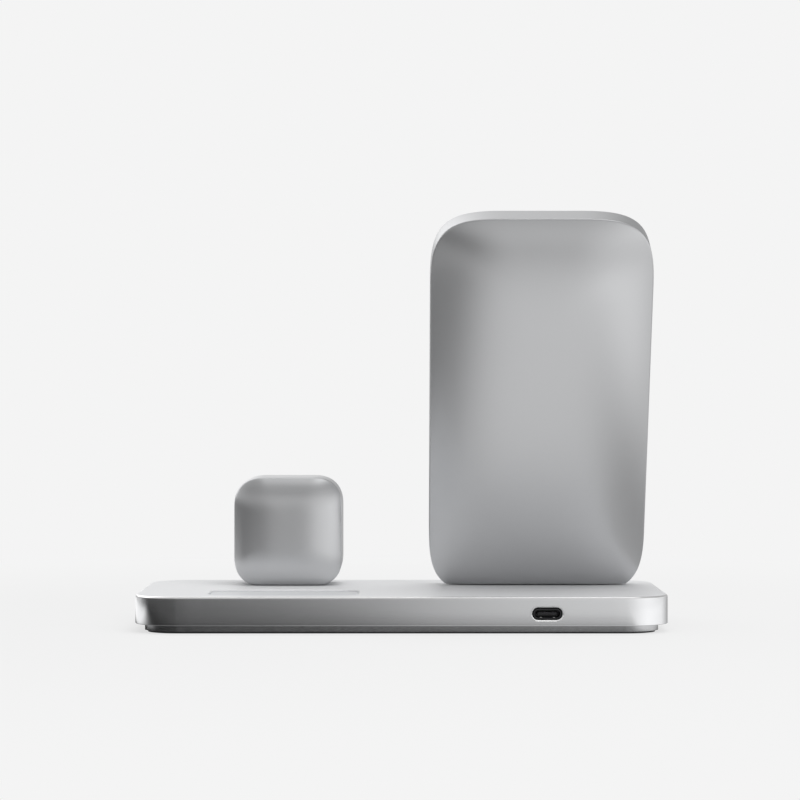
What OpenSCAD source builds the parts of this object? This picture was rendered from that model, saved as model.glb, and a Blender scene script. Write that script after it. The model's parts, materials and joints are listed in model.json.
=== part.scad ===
// Charging stand for a phone, a watch and an earbud case, in millimetres.
// Origin: centre of the underside. The socket is in the rear wall, towards +Y.

/* [Base] */
// Width of the base
base_w = 172.6; // [162:0.2:200]
// Depth of the base from front to rear
base_d = 86; // [86:1:110]
// Height of the base top above the surface that it stands on
base_h = 12; // [12:0.1:16]
// Corner radius of the base in plan
base_corner_r = 14.3; // [10:0.1:20]
// Radius of the bright edge round the base top
base_edge_r = 0.7; // [0.3:0.1:1.2]
// Thickness of the housing's wall and roof
base_wall = 1.8; // [1.6:0.1:2.2]
// Height of the recessed foot below the housing
foot_h = 2.7; // [2.4:0.1:3]
// Distance that the foot stands in from the housing's side
foot_inset = 3.1; // [2.4:0.1:5]
// Thickness of the plate's lip inside the housing
plate_lip_t = 1.2; // [1:0.1:1.4]
// Thickness of the rubber sheet under the foot
foot_pad_t = 0.6; // [0.4:0.1:0.8]
// Thickness of the steel ballast plate
ballast_t = 2.4; // [1.5:0.1:2.5]

/* [Phone panel] */
// Distance of the panel's centre from the base's centre
phone_x = 45.7; // [40:0.1:46]
// Width of the panel
phone_w = 72.8; // [66:0.1:78]
// Length of the panel's outline along its lean
phone_l = 135.8; // [120:0.1:150]
// Angle that the panel leans back from upright
phone_lean = 23.5; // [15:0.5:25]
// Depth of the panel's straight side wall
phone_side = 7.9; // [7.5:0.1:10]
// Height of the domed back above the side wall
phone_crown = 8.5; // [7:0.1:11]
// Length of the panel's soft corners
phone_corner = 23; // [16:0.5:30]
// Place of the outline's lowest point from the base's centre, towards the front
phone_y = 19.4; // [15:0.1:21]
// Height of the outline's lowest point above the surface
phone_z = 8.8; // [8.6:0.1:9]

/* [Watch block] */
// Distance of the block's centre from the base's centre
watch_x = 38.4; // [34:0.1:44]
// Width of the block
watch_w = 36.6; // [36.5:0.1:42]
// Height of the block's outline
watch_l = 37; // [36.5:0.1:44]
// Angle that the block leans back from upright
watch_lean = 0.5; // [0:0.5:5]
// Depth of the block's straight side wall
watch_side = 21; // [19:0.5:24]
// Height of the domed back above the side wall
watch_crown = 4.5; // [4:0.1:6]
// Length of the block's soft corners
watch_corner = 9.7; // [6:0.1:14]
// Place of the outline's lowest point from the base's centre, towards the front
watch_y = 12.5; // [9:0.1:14]
// Height of the outline's lowest point above the surface
watch_z = 11.75; // [11.5:0.05:11.9]

/* [Shells] */
// Thickness of the domed shells
skin = 2.2; // [1.8:0.1:2.6]
// Width of the shells' front rim round the covers
rim_w = 1.3; // [1:0.1:1.6]
// Thickness of the front covers
cover_t = 2; // [1.6:0.1:2.2]
// Gap between a cover and the rim round it
cover_gap = 0.15; // [0.1:0.05:0.3]
// Size of the small bevel round each front rim
rim_bevel = 0.4; // [0.2:0.1:0.6]

/* [Socket and board] */
// Distance of the socket from the base's centre, on the phone's side
port_x = 46.6; // [35:0.1:56]
// Height of the socket's centre above the surface
port_z = 6.6; // [6.5:0.1:6.8]
// Width of the socket's metal shell
port_w = 8.94; // [8.94:0.01:9.1]
// Height of the socket's metal shell
port_h = 3.2; // [3.16:0.01:3.3]
// Length of the socket's metal shell
port_l = 7.3; // [6.5:0.1:8.5]
// Metal thickness of the socket's shell
port_wall = 0.3; // [0.2:0.05:0.35]
// Gap round the socket in the housing's wall
port_gap = 0.45; // [0.3:0.05:0.8]
// Width of the circuit board
board_w = 62; // [54:1:64]
// Distance of the board's left end from the base's centre
board_end_x = 68; // [66:1:69]
// Depth of the circuit board
board_d = 26; // [22:1:26]
// Thickness of the circuit board
board_t = 1; // [0.8:0.1:1.2]

/* [Earbud place] */
// Width of the earbud dish
dish_w = 48.6; // [44:0.1:50]
// Depth of the earbud dish from front to rear
dish_d = 26.4; // [24:0.1:28]
// Corner radius of the earbud dish
dish_r = 6; // [4:0.5:10]
// How far the dish lies below the base top
dish_drop = 0.6; // [0.4:0.1:0.9]
// Distance of the dish's centre from the base's centre, towards the rear
dish_y = 21.7; // [20:0.1:22]

/* [Phone ledge] */
// Width of the rubber rest that the phone stands on
ledge_w = 58; // [40:1:64]
// Depth of the rubber rest
ledge_d = 9; // [7:0.5:10]
// How far the rest is sunk into the base top
ledge_sink = 0.8; // [0.6:0.1:1]
// How far the rest stands above the base top
ledge_rise = 0.6; // [0.4:0.1:1]
// Height of the lip along the rest's front edge
ledge_lip = 1.6; // [1:0.1:2.4]

/* [Screws and brackets] */
// Shank diameter of the screws
screw_d = 2.5; // [2:0.1:2.6]
// Head diameter of the screws
screw_head_d = 4.6; // [4:0.1:4.8]
// Head height of the screws
screw_head_h = 1; // [0.8:0.1:1.1]
// Gap between a screw's shank and its hole, on each side
screw_gap = 0.05; // [0.03:0.01:0.1]
// Diameter of the screw bosses
boss_d = 6; // [5.4:0.1:6.4]
// Thickness of the steel brackets
bracket_t = 1.5; // [1.2:0.1:1.6]
// Width of the phone panel's bracket
phone_bracket_w = 32; // [28:1:36]
// Width of the watch block's bracket
watch_bracket_w = 20; // [18:1:22]
// Free space round a bracket where it passes a wall
bracket_gap = 0.6; // [0.4:0.1:0.8]

/* [Coils] */
// Outer radius of the phone coils
phone_coil_r = 21; // [16:0.5:21]
// Inner radius of the phone coils
phone_coil_bore = 9.5; // [8:0.5:13]
// Height of the lower phone coil above the panel's lowest point
phone_coil_low = 39; // [38:0.5:44]
// Distance between the two phone coils
phone_coil_pitch = 43; // [43:0.5:50]
// Wire thickness of the coils
wire_t = 1.1; // [0.9:0.1:1.1]
// Thickness of the ferrite sheets
ferrite_t = 0.5; // [0.4:0.1:0.5]
// Thickness of the phone coil tray
tray_t = 0.7; // [0.6:0.1:0.7]
// Outer radius of the earbud coil
earbud_coil_r = 12; // [10:0.5:12.5]
// Radius of the watch puck
puck_r = 14.5; // [13:0.1:14.8]
// How far the puck stands out of its cover
puck_rise = 1.2; // [0.8:0.1:2]
// Depth of the hollow in the puck's face
puck_dish = 0.7; // [0.4:0.1:0.8]

/* [Hidden] */

// Faces on a full turn, and a length that reaches safely past a cut
$fn = 48;
past = 1;

// Levels inside the base
roof_z = base_h - base_wall;
plate_top = foot_h + plate_lip_t;
ballast_top = plate_top + ballast_t;
lip_gap = 0.1;
foot_pad_inset = 1;

// Screws: the head seats in a counterbore just above the foot pad
head_sink = 0.2;
head_gap = 0.3;
plate_screw_seat = foot_pad_t + head_sink + screw_head_h;
plate_screw_l = 6;
plate_screw_tip = 0.4;
plate_hole_gap = 0.2;
slot_l_share = 0.6;
slot_w_share = 0.17;
boss_from_side = 11;
boss_from_end = 10;
boss_x = base_w / 2 - boss_from_side;
boss_y = base_d / 2 - boss_from_end;
plate_screw_places = [for (x = [-boss_x, 0, boss_x], y = [-boss_y, boss_y]) [x, y]];

// Soft corners and domed backs: shares of a size, powers of the curves, and steps
phone_hold = 0.8;
watch_hold = 0.63;
corner_steps = 9;
dome_steps = 12;
phone_dome_power = 3;
watch_dome_power = 4;
skin_drop = skin * 1.2;
shell_boss_cover = skin / 3;
dome_end = 0.96;
dome_spread = 1.5;

// Brackets: a flange below the roof on bosses, and an upright that stands in it
flange_boss_h = 1.8;
flange_top = roof_z - flange_boss_h;
flange_z = flange_top - bracket_t;
flange_l = 15;
flange_shoulder = 0.5;
flange_screw_from_end = 5;
flange_screw_l = 4;
flange_screw_tip = 0.3;
phone_bracket_w0 = -2.4;
phone_upright = 33;
phone_screw_u = 10;
phone_screw_v = [15, 26];
watch_bracket_w0 = -9;
watch_upright = 28;
watch_screw_u = 5.5;
watch_screw_v = [13, 23];
bracket_screw_l = 5.5;
bracket_screw_tip = 0.5;

// Ballast: between the front bosses and the earbud coil's holder
holder_margin = 2;
holder_r = earbud_coil_r + holder_margin;
holder_wall = 3;
holder_roof = 1;
ballast_gap = 1.2;
ballast_y0 = -boss_y + boss_d / 2 + ballast_gap;
ballast_y1 = dish_y - holder_r - ballast_gap;
ballast_x = boss_x - boss_d / 2 - ballast_gap;
ballast_r = 3;
peg_r = 2;
peg_gap = 0.2;
peg_from_end = 7;
peg_from_rear = 6;
peg_x = ballast_x - peg_from_end;
peg_y = ballast_y1 - peg_from_rear;

// Circuit board, carried on standoffs of the plate, level with the socket's middle
board_z = port_z - board_t / 2;
board_top = board_z + board_t;
board_rear_gap = 0.7;
board_y1 = base_d / 2 - base_wall - board_rear_gap;
board_y0 = board_y1 - board_d;
board_screw_d = 2;
board_screw_head_d = 4;
board_screw_l = 2.6;
board_screw_from_edge = 3.5;
board_screw_places = [
    [-board_end_x + board_screw_from_edge, board_y0 + board_screw_from_edge],
    [-board_end_x + board_w - board_screw_from_edge, board_y0 + board_screw_from_edge],
    [-board_end_x + board_w - board_screw_from_edge, board_y1 - board_screw_from_edge],
];
standoff_d = 5;
port_sink = 0.4;
// Pieces on the board, counted from its left front corner: chips as [x, y, width]
chips = [[39, 7, 7], [50, 8, 5], [39, 19, 4], [54, 16, 4]];
chip_h = 0.9;
inductor_count = 3;
inductor_w = 6;
inductor_h = 2.4;
inductor_x = 12;
inductor_y = 7;
inductor_pitch = 8.5;
inductor_notch_r = 1;
capacitor_count = 6;
capacitor_size = [1.6, 3.2, 1.4];
capacitor_x = 8;
capacitor_y = 14;
capacitor_pitch = 3.4;
// Socket: its mouth just inside the wall, its ears on the board and its tongue
port_y1 = base_d / 2 - port_sink;
port_y0 = port_y1 - port_l;
port_back = 0.8;
notch_gap = 0.15;
tongue_w = 6.69;
tongue_t = 0.7;
tongue_l = 4.5;
tongue_root = 1.6;
ear_w = 1.2;
ear_l = 1.5;

// Web that joins the turns of a coil, as a share of the wire's thickness
coil_web = 0.7;

// Earbud stack under the roof: insert flange, coil, ferrite, holder
insert_gap = 0.1;
insert_lip = 2;
insert_lip_t = 0.8;
earbud_coil_z = roof_z - insert_lip_t - wire_t;
earbud_ferrite_z = earbud_coil_z - ferrite_t;
earbud_bore = 5;
earbud_ferrite_r = earbud_coil_r + 1;

// Coil and cover levels in the panel, counted along its back normal
phone_cover_back = -phone_side + cover_t;
phone_ferrite_w = phone_cover_back + wire_t;
phone_tray_w = phone_ferrite_w + ferrite_t;
tray_margin = 3;
tray_rim = 1.2;
tray_corner = 12;

// Levels in the watch block, counted along its back normal
watch_cover_back = -watch_side + cover_t;
puck_gap = 0.2;
puck_lip = 1.1;
puck_lip_t = 1;
puck_face_t = 1.4;
puck_wall = 1.3;
puck_depth = 2.5;
puck_edge_r = 0.6;
puck_hollow_r = puck_r - 1.5;
puck_floor = -watch_side - puck_rise + puck_face_t;
puck_end = watch_cover_back + puck_depth;
magnet_r = 4;
magnet_h = 2.2;
watch_coil_bore = 5.2;
watch_v = watch_l / 2;
watch_board_t = 1;
watch_chip_w = 6;

// Flat cables
flex_t = 0.25;
flex_w = 6;
flex_gap = 0.4;
watch_flex_up = 10;

// Lean of both pieces, as sine and cosine
phone_s = sin(phone_lean);
phone_c = cos(phone_lean);
watch_s = sin(watch_lean);
watch_c = cos(watch_lean);

// Places in the base of a point v up a leaning piece and w behind its back edge
function lean_y(y, s, c, v, w) = -y + v * s + w * c;
function lean_v(z0, s, c, z, w) = (z - z0 + w * s) / c;
function phone_v_at(z, w) = lean_v(phone_z, phone_s, phone_c, z, w);
function phone_y_at(z, w) = lean_y(phone_y, phone_s, phone_c, phone_v_at(z, w), w);
function watch_v_at(z, w) = lean_v(watch_z, watch_s, watch_c, z, w);
function watch_y_at(z, w) = lean_y(watch_y, watch_s, watch_c, watch_v_at(z, w), w);

phone_flange_y = phone_y_at(flange_z, phone_bracket_w0);
watch_flange_y = watch_y_at(flange_z, watch_bracket_w0);
ledge_face_gap = 1.5;
ledge_y = phone_y_at(base_h, -phone_side) - ledge_face_gap - ledge_d / 2;
ledge_r = 3;
ledge_fit = 0.1;
lip_t = 2.2;

// Cubic curve through a soft corner: from the side, where x is 0, to the end, where y is 0
function corner_x(len, hold, t) = 3 * (1 - t) * t ^ 2 * len * (1 - hold) + t ^ 3 * len;
function corner_y(len, hold, t) = corner_x(len, hold, 1 - t);

// Outline with soft corners, half sizes a and b, anticlockwise
function soft_outline(a, b, len, hold) = [
    for (quarter = [0 : 3], i = [0 : corner_steps])
        let (
            even = quarter % 2 == 0,
            t = (even ? i : corner_steps - i) / corner_steps,
            x = a - corner_x(len, hold, t),
            y = b - corner_y(len, hold, t)
        )
        [quarter == 0 || quarter == 3 ? x : -x, quarter < 2 ? y : -y]
];

// The same outline moved in by a distance, raised to a height, as points in space
function inset_ring(w, l, len, hold, inset, z) = [
    for (p = soft_outline(w / 2 - inset, l / 2 - inset, len * (1 - 2 * inset / w), hold))
        [p[0], l / 2 + p[1], z]
];

// Height of a domed back at a distance in from its edge
function dome(crown, power, reach, inset) = crown * (1 - (1 - min(inset, reach) / reach) ^ power);

// Rings of a domed back, closer together near the edge
function dome_rings(w, l, len, hold, crown, power, start, drop) = [
    for (i = [0 : dome_steps])
        let (
            reach = w / 2,
            inset = start + (dome_end * reach - start) * (i / dome_steps) ^ dome_spread
        )
        inset_ring(w, l, len, hold, inset, dome(crown, power, reach, inset) - drop)
];

// Closed solid through a stack of rings, flat at both ends
module loft(rings) {
    n = len(rings[0]);
    top = (len(rings) - 1) * n;
    sides = [
        for (r = [0 : len(rings) - 2], i = [0 : n - 1])
            let (a = r * n + i, b = r * n + (i + 1) % n)
            each [[a, a + n, b + n], [a, b + n, b]]
    ];
    polyhedron(
        points = [for (ring = rings) each ring],
        faces = concat(
            [[for (i = [0 : n - 1]) i], [for (i = [n - 1 : -1 : 0]) top + i]],
            sides
        ),
        convexity = 4
    );
}

// Shell with soft corners and a domed back, open at the front, with a seat for its cover
module domed_shell(w, l, corner, hold, side, crown, power) {
    outer_rims = [
        inset_ring(w, l, corner, hold, rim_bevel, -side),
        inset_ring(w, l, corner, hold, 0, -side + rim_bevel)
    ];
    difference() {
        loft(concat(outer_rims, dome_rings(w, l, corner, hold, crown, power, 0, 0)));
        loft(concat(
            [inset_ring(w, l, corner, hold, skin, -side - past)],
            dome_rings(w, l, corner, hold, crown, power, skin, skin_drop)
        ));
        translate([0, 0, -side - past])
            cover_blank(w, l, corner, hold, rim_w, cover_t + past);
    }
}

// Flat plate with the shell's soft outline, moved in by a distance
module cover_blank(w, l, corner, hold, inset, t) {
    translate([0, l / 2, 0])
        linear_extrude(t)
            polygon(soft_outline(w / 2 - inset, l / 2 - inset, corner * (1 - 2 * inset / w), hold));
}

// Frames of the two leaning pieces: x to the phone's side, y up the lean, z to the back
module in_phone_frame() {
    translate([-phone_x, -phone_y, phone_z])
        rotate([90 + phone_lean, 0, 180])
            children();
}

module in_watch_frame() {
    translate([watch_x, -watch_y, watch_z])
        rotate([90 + watch_lean, 0, 180])
            children();
}

// Rounded rectangle, centred
module round_rect(w, d, r) {
    square([w - 2 * r, d], center = true);
    square([w, d - 2 * r], center = true);
    for (x = [-1, 1], y = [-1, 1])
        translate([x * (w / 2 - r), y * (d / 2 - r)])
            circle(r);
}

module round_slab(w, d, h, r) {
    linear_extrude(h)
        round_rect(w, d, r);
}

// Slab whose top edge is rounded all the way round
module edged_slab(w, d, h, r, edge) {
    round_slab(w, d, h - edge, r);
    round_slab(w - 2 * edge, d - 2 * edge, h, r - edge);
    for (x = [-1, 1], y = [-1, 1])
        translate([x * (w / 2 - r), y * (d / 2 - r), h - edge])
            rotate_extrude()
                translate([r - edge, 0])
                    circle(edge);
    for (y = [-1, 1])
        translate([0, y * (d / 2 - edge), h - edge])
            rotate([0, 90, 0])
                cylinder(r = edge, h = w - 2 * r, center = true);
    for (x = [-1, 1])
        translate([x * (w / 2 - edge), 0, h - edge])
            rotate([90, 0, 0])
                cylinder(r = edge, h = d - 2 * r, center = true);
}

// Prism with round ends, its length along X and its depth along Y
module stadium(w, h, depth) {
    rotate([-90, 0, 0])
        linear_extrude(depth) {
            square([w - h, h], center = true);
            for (x = [-1, 1])
                translate([x * (w - h) / 2, 0])
                    circle(d = h);
        }
}

// Screw with its head's underside at the origin and its shank along +Z
module screw(d, l, head_d, head_h) {
    difference() {
        translate([0, 0, -head_h])
            cylinder(d = head_d, h = head_h);
        for (turn = [0, 90])
            rotate(turn)
                translate([0, 0, -head_h])
                    cube([head_d * slot_l_share, head_d * slot_w_share, head_h], center = true);
    }
    cylinder(d = d, h = l);
}

// Ring of flat wound wire: the turns show as round ridges on its two faces
module coil(bore, r, t) {
    turns = floor((r - bore) / t);
    rotate_extrude()
        for (i = [0 : turns - 1])
            translate([r - t * (i + 0.5), t / 2]) {
                square([t, t * coil_web], center = true);
                circle(d = t);
            }
}

// Space that a bracket's upright needs in the walls that it passes
module bracket_space(w, w0, in_front) {
    reach = 12;
    translate([-w / 2 - bracket_gap, -reach, w0 - in_front])
        cube([w + 2 * bracket_gap, 2 * reach, bracket_t + bracket_gap + in_front]);
}

module phone_bracket_space() {
    in_phone_frame()
        bracket_space(phone_bracket_w, phone_bracket_w0, flex_t + flex_gap + bracket_gap);
}

module watch_bracket_space() {
    in_watch_frame()
        bracket_space(watch_bracket_w, watch_bracket_w0, bracket_gap);
}

// Places of the flange screws of a bracket, two on a line across
module at_flange_screws(x, y, u) {
    for (side = [-1, 1])
        translate([x + side * u, y + flange_l - flange_screw_from_end, 0])
            children();
}

module at_phone_flange_screws() {
    at_flange_screws(-phone_x, phone_flange_y, phone_screw_u)
        children();
}

module at_watch_flange_screws() {
    at_flange_screws(watch_x, watch_flange_y, watch_screw_u)
        children();
}

module flange_boss_hole() {
    translate([0, 0, flange_top - past])
        cylinder(r = screw_d / 2 + screw_gap, h = past + flange_screw_l - bracket_t + flange_screw_tip);
}

// Bosses inside a domed shell that carry its bracket
module shell_bosses(places_u, places_v, w1, w, crown, power) {
    reach = w / 2;
    for (u = [-places_u, places_u], v = places_v)
        let (inset = min(v, reach - places_u) - boss_d / 2)
        translate([u, v, w1])
            cylinder(d = boss_d, h = dome(crown, power, reach, inset) - shell_boss_cover - w1);
}

module shell_boss_holes(places_u, places_v, w1) {
    depth = bracket_screw_l - bracket_t + bracket_screw_tip;
    for (u = [-places_u, places_u], v = places_v)
        translate([u, v, w1 - past])
            cylinder(r = screw_d / 2 + screw_gap, h = past + depth);
}

// Everything below the base top, to trim the shells that stand on it
module below_base_top() {
    reach = 2 * base_w;
    translate([-reach / 2, -reach / 2, base_h - reach])
        cube(reach);
}

// Base

module base_housing() {
    color("#c9cbce")
    difference() {
        union() {
            difference() {
                translate([0, 0, foot_h])
                    edged_slab(base_w, base_d, base_h - foot_h, base_corner_r, base_edge_r);
                translate([0, 0, foot_h - past])
                    round_slab(
                        base_w - 2 * base_wall, base_d - 2 * base_wall,
                        roof_z - foot_h + past, base_corner_r - base_wall
                    );
            }
            for (place = plate_screw_places)
                translate([place[0], place[1], plate_top])
                    cylinder(d = boss_d, h = roof_z - plate_top + base_wall / 2);
            at_phone_flange_screws()
                translate([0, 0, flange_top])
                    cylinder(d = boss_d, h = flange_boss_h + base_wall / 2);
            at_watch_flange_screws()
                translate([0, 0, flange_top])
                    cylinder(d = boss_d, h = flange_boss_h + base_wall / 2);
        }
        for (place = plate_screw_places)
            translate([place[0], place[1], plate_top - past])
                cylinder(
                    r = screw_d / 2 + screw_gap,
                    h = past + plate_screw_seat + plate_screw_l + plate_screw_tip - plate_top
                );
        at_phone_flange_screws()
            flange_boss_hole();
        at_watch_flange_screws()
            flange_boss_hole();
        translate([-port_x, base_d / 2 - base_wall - past, port_z])
            stadium(port_w + 2 * port_gap, port_h + 2 * port_gap, base_wall + 2 * past);
        translate([watch_x, dish_y, roof_z - past])
            round_slab(dish_w, dish_d, base_wall + 2 * past, dish_r);
        translate([-phone_x, ledge_y, base_h - ledge_sink])
            round_slab(ledge_w, ledge_d, ledge_sink + past, ledge_r);
        phone_bracket_space();
        watch_bracket_space();
        watch_flex_slot();
    }
}

module base_plate() {
    plate_w = base_w - 2 * foot_inset;
    plate_d = base_d - 2 * foot_inset;
    side = base_wall + lip_gap;
    color("#9fa2a6")
    difference() {
        union() {
            translate([0, 0, foot_pad_t])
                round_slab(plate_w, plate_d, plate_top - foot_pad_t, base_corner_r - foot_inset);
            translate([0, 0, foot_h])
                round_slab(base_w - 2 * side, base_d - 2 * side, plate_lip_t, base_corner_r - side);
            for (place = board_screw_places)
                translate([place[0], place[1], plate_top - plate_lip_t])
                    cylinder(d = standoff_d, h = board_z - plate_top + plate_lip_t);
            for (x = [-peg_x, peg_x])
                translate([x, peg_y, plate_top - plate_lip_t])
                    cylinder(r = peg_r, h = plate_lip_t + ballast_t);
        }
        for (place = plate_screw_places)
            translate([place[0], place[1], 0]) {
                cylinder(r = screw_head_d / 2 + head_gap, h = plate_screw_seat);
                cylinder(r = screw_d / 2 + plate_hole_gap, h = plate_top + past);
            }
        for (place = board_screw_places)
            translate([place[0], place[1], board_top - board_screw_l - plate_screw_tip])
                cylinder(r = board_screw_d / 2 + screw_gap, h = board_screw_l + past);
    }
}

module foot_pad() {
    side = foot_inset + foot_pad_inset;
    color("#3c3e41")
    round_slab(base_w - 2 * side, base_d - 2 * side, foot_pad_t, base_corner_r - side);
}

module plate_screws() {
    color("#8a8c90")
    for (place = plate_screw_places)
        translate([place[0], place[1], plate_screw_seat])
            screw(screw_d, plate_screw_l, screw_head_d, screw_head_h);
}

module ballast_plate() {
    head_space = screw_head_d / 2 + head_gap;
    color("#77797c")
    difference() {
        translate([0, (ballast_y0 + ballast_y1) / 2, plate_top])
            round_slab(2 * ballast_x, ballast_y1 - ballast_y0, ballast_t, ballast_r);
        for (x = [-peg_x, peg_x])
            translate([x, peg_y, plate_top - past])
                cylinder(r = peg_r + peg_gap, h = ballast_t + 2 * past);
        at_phone_flange_screws()
            translate([0, 0, plate_top - past])
                cylinder(r = head_space, h = ballast_t + 2 * past);
        at_watch_flange_screws()
            translate([0, 0, plate_top - past])
                cylinder(r = head_space, h = ballast_t + 2 * past);
    }
}

// Circuit board and socket

module main_board() {
    color("#2f5d3a")
    difference() {
        translate([-board_end_x, board_y0, board_z])
            cube([board_w, board_d, board_t]);
        translate([-port_x - port_w / 2 - notch_gap, port_y0 - notch_gap, board_z - past])
            cube([port_w + 2 * notch_gap, port_l + past, board_t + 2 * past]);
        for (place = board_screw_places)
            translate([place[0], place[1], board_z - past])
                cylinder(r = board_screw_d / 2 + screw_gap, h = board_t + 2 * past);
    }
}

module board_screws() {
    color("#8a8c90")
    for (place = board_screw_places)
        translate([place[0], place[1], board_top])
            mirror([0, 0, 1])
                screw(board_screw_d, board_screw_l, board_screw_head_d, screw_head_h);
}

module board_inductors() {
    color("#4b4d50")
    for (i = [0 : inductor_count - 1])
        translate([inductor_x + i * inductor_pitch - board_end_x, board_y0 + inductor_y, board_top])
            difference() {
                translate([-inductor_w / 2, -inductor_w / 2, 0])
                    cube([inductor_w, inductor_w, inductor_h]);
                for (x = [-1, 1], y = [-1, 1])
                    translate([x * inductor_w / 2, y * inductor_w / 2, -past])
                        cylinder(r = inductor_notch_r, h = inductor_h + 2 * past);
            }
}

module board_chips() {
    color("#232426")
    for (chip = chips)
        translate([chip[0] - board_end_x, board_y0 + chip[1], board_top + chip_h / 2])
            cube([chip[2], chip[2], chip_h], center = true);
}

module board_capacitors() {
    color("#b79a68")
    for (i = [0 : capacitor_count - 1])
        translate([capacitor_x + i * capacitor_pitch - board_end_x, board_y0 + capacitor_y, board_top])
            cube(capacitor_size);
}

module usb_shell() {
    color("#b9bbbe") {
        translate([-port_x, port_y0, port_z])
            difference() {
                stadium(port_w, port_h, port_l);
                translate([0, port_back, 0])
                    stadium(port_w - 2 * port_wall, port_h - 2 * port_wall, port_l);
            }
        for (side = [-1, 1], y = [ear_l, port_l / 2])
            translate([-port_x + side * (port_w + ear_w) / 2, port_y0 + y, board_top + port_wall / 2])
                cube([ear_w + 2 * port_wall, ear_l, port_wall], center = true);
    }
}

module usb_tongue() {
    color("#1d1e20") {
        translate([-port_x - tongue_w / 2, port_y0 + port_back, port_z - tongue_t / 2])
            cube([tongue_w, tongue_l, tongue_t]);
        translate([-port_x, port_y0 + port_back, port_z])
            stadium(port_w - 2 * port_wall, port_h - 2 * port_wall, tongue_root);
    }
}

// Earbud place

module earbud_insert() {
    color("#c4c6c9")
    translate([watch_x, dish_y, 0]) {
        translate([0, 0, roof_z])
            round_slab(
                dish_w - 2 * insert_gap, dish_d - 2 * insert_gap,
                base_wall - dish_drop, dish_r - insert_gap
            );
        translate([0, 0, roof_z - insert_lip_t])
            round_slab(dish_w + 2 * insert_lip, dish_d + 2 * insert_lip, insert_lip_t, dish_r + insert_lip);
    }
}

module earbud_coil() {
    color("#b87333")
    translate([watch_x, dish_y, earbud_coil_z])
        coil(earbud_bore, earbud_coil_r, wire_t);
}

module earbud_ferrite() {
    color("#3a3b3e")
    translate([watch_x, dish_y, earbud_ferrite_z])
        cylinder(r = earbud_ferrite_r, h = ferrite_t);
}

module earbud_coil_holder() {
    height = earbud_ferrite_z - plate_top;
    color("#e3e4e5")
    translate([watch_x, dish_y, plate_top])
        difference() {
            cylinder(r = holder_r, h = height);
            translate([0, 0, -past])
                cylinder(r = holder_r - holder_wall, h = height - holder_roof + past);
        }
}

module earbud_flex() {
    x0 = -board_end_x + board_w;
    x1 = watch_x - holder_r;
    color("#c08a3e")
    translate([x0, dish_y - flex_w / 2, board_z])
        cube([x1 - x0, flex_w, flex_t]);
}

// Phone panel

module ledge_pad() {
    w = ledge_w - 2 * ledge_fit;
    d = ledge_d - 2 * ledge_fit;
    color("#b4b6b9")
    translate([-phone_x, ledge_y, base_h - ledge_sink]) {
        round_slab(w, d, ledge_sink + ledge_rise, ledge_r - ledge_fit);
        translate([0, (lip_t - d) / 2, 0])
            round_slab(w - 2 * ledge_r, lip_t, ledge_sink + ledge_rise + ledge_lip, lip_t / 2 - ledge_fit);
    }
}

module phone_back_shell() {
    color("#cfd1d4")
    difference() {
        in_phone_frame()
            difference() {
                union() {
                    domed_shell(
                        phone_w, phone_l, phone_corner, phone_hold,
                        phone_side, phone_crown, phone_dome_power
                    );
                    shell_bosses(
                        phone_screw_u, phone_screw_v, phone_bracket_w0 + bracket_t,
                        phone_w, phone_crown, phone_dome_power
                    );
                }
                shell_boss_holes(phone_screw_u, phone_screw_v, phone_bracket_w0 + bracket_t);
            }
        below_base_top();
        phone_bracket_space_low();
    }
}

// The bracket's way through the shell's lower wall, kept below the bosses
module phone_bracket_space_low() {
    intersection() {
        phone_bracket_space();
        translate([-phone_x - base_w / 2, -base_d, 0])
            cube([base_w, 2 * base_d, base_h + skin]);
    }
}

module phone_front_cover() {
    color("#d9dadc")
    in_phone_frame()
        translate([0, 0, -phone_side])
            cover_blank(phone_w, phone_l, phone_corner, phone_hold, rim_w + cover_gap, cover_t);
}

module phone_coil_tray() {
    w = 2 * (phone_coil_r + tray_margin);
    l = phone_coil_pitch + w;
    depth = phone_tray_w - phone_cover_back;
    color("#e3e4e5")
    in_phone_frame()
        translate([0, phone_coil_low + phone_coil_pitch / 2, phone_cover_back])
            difference() {
                round_slab(w, l, depth + tray_t, tray_corner);
                translate([0, 0, -past])
                    round_slab(w - 2 * tray_rim, l - 2 * tray_rim, depth + past, tray_corner - tray_rim);
            }
}

module phone_ferrite() {
    side_gap = 0.3;
    w = 2 * (phone_coil_r + tray_margin - tray_rim - side_gap);
    color("#3a3b3e")
    in_phone_frame()
        translate([0, phone_coil_low + phone_coil_pitch / 2, phone_ferrite_w])
            round_slab(w, phone_coil_pitch + w, ferrite_t, tray_corner - tray_rim - side_gap);
}

module phone_coil(v) {
    color("#b87333")
    in_phone_frame()
        translate([0, v, phone_cover_back])
            coil(phone_coil_bore, phone_coil_r, wire_t);
}

module phone_coil_upper() {
    phone_coil(phone_coil_low + phone_coil_pitch);
}

module phone_coil_lower() {
    phone_coil(phone_coil_low);
}

// Flat cable from the coil tray down to the board's front edge, lying on the ballast
module phone_flex() {
    w = phone_tray_w + tray_t + flex_t / 2;
    z = ballast_top + flex_t / 2;
    top_v = phone_coil_low - phone_coil_r + flex_w;
    path = [
        [lean_y(phone_y, phone_s, phone_c, top_v, w), phone_z + top_v * phone_c - w * phone_s],
        [phone_y_at(z, w), z],
        [board_y0, z]
    ];
    color("#c08a3e")
    translate([-phone_x - flex_w / 2, 0, 0])
        rotate([90, 0, 90])
            linear_extrude(flex_w)
                ribbon(path, flex_t);
}

// Strip of even thickness along a path in the plane
module ribbon(path, t) {
    polygon(concat(beside(path, t / 2), [for (i = [len(path) - 1 : -1 : 0]) beside(path, -t / 2)[i]]));
}

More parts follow.
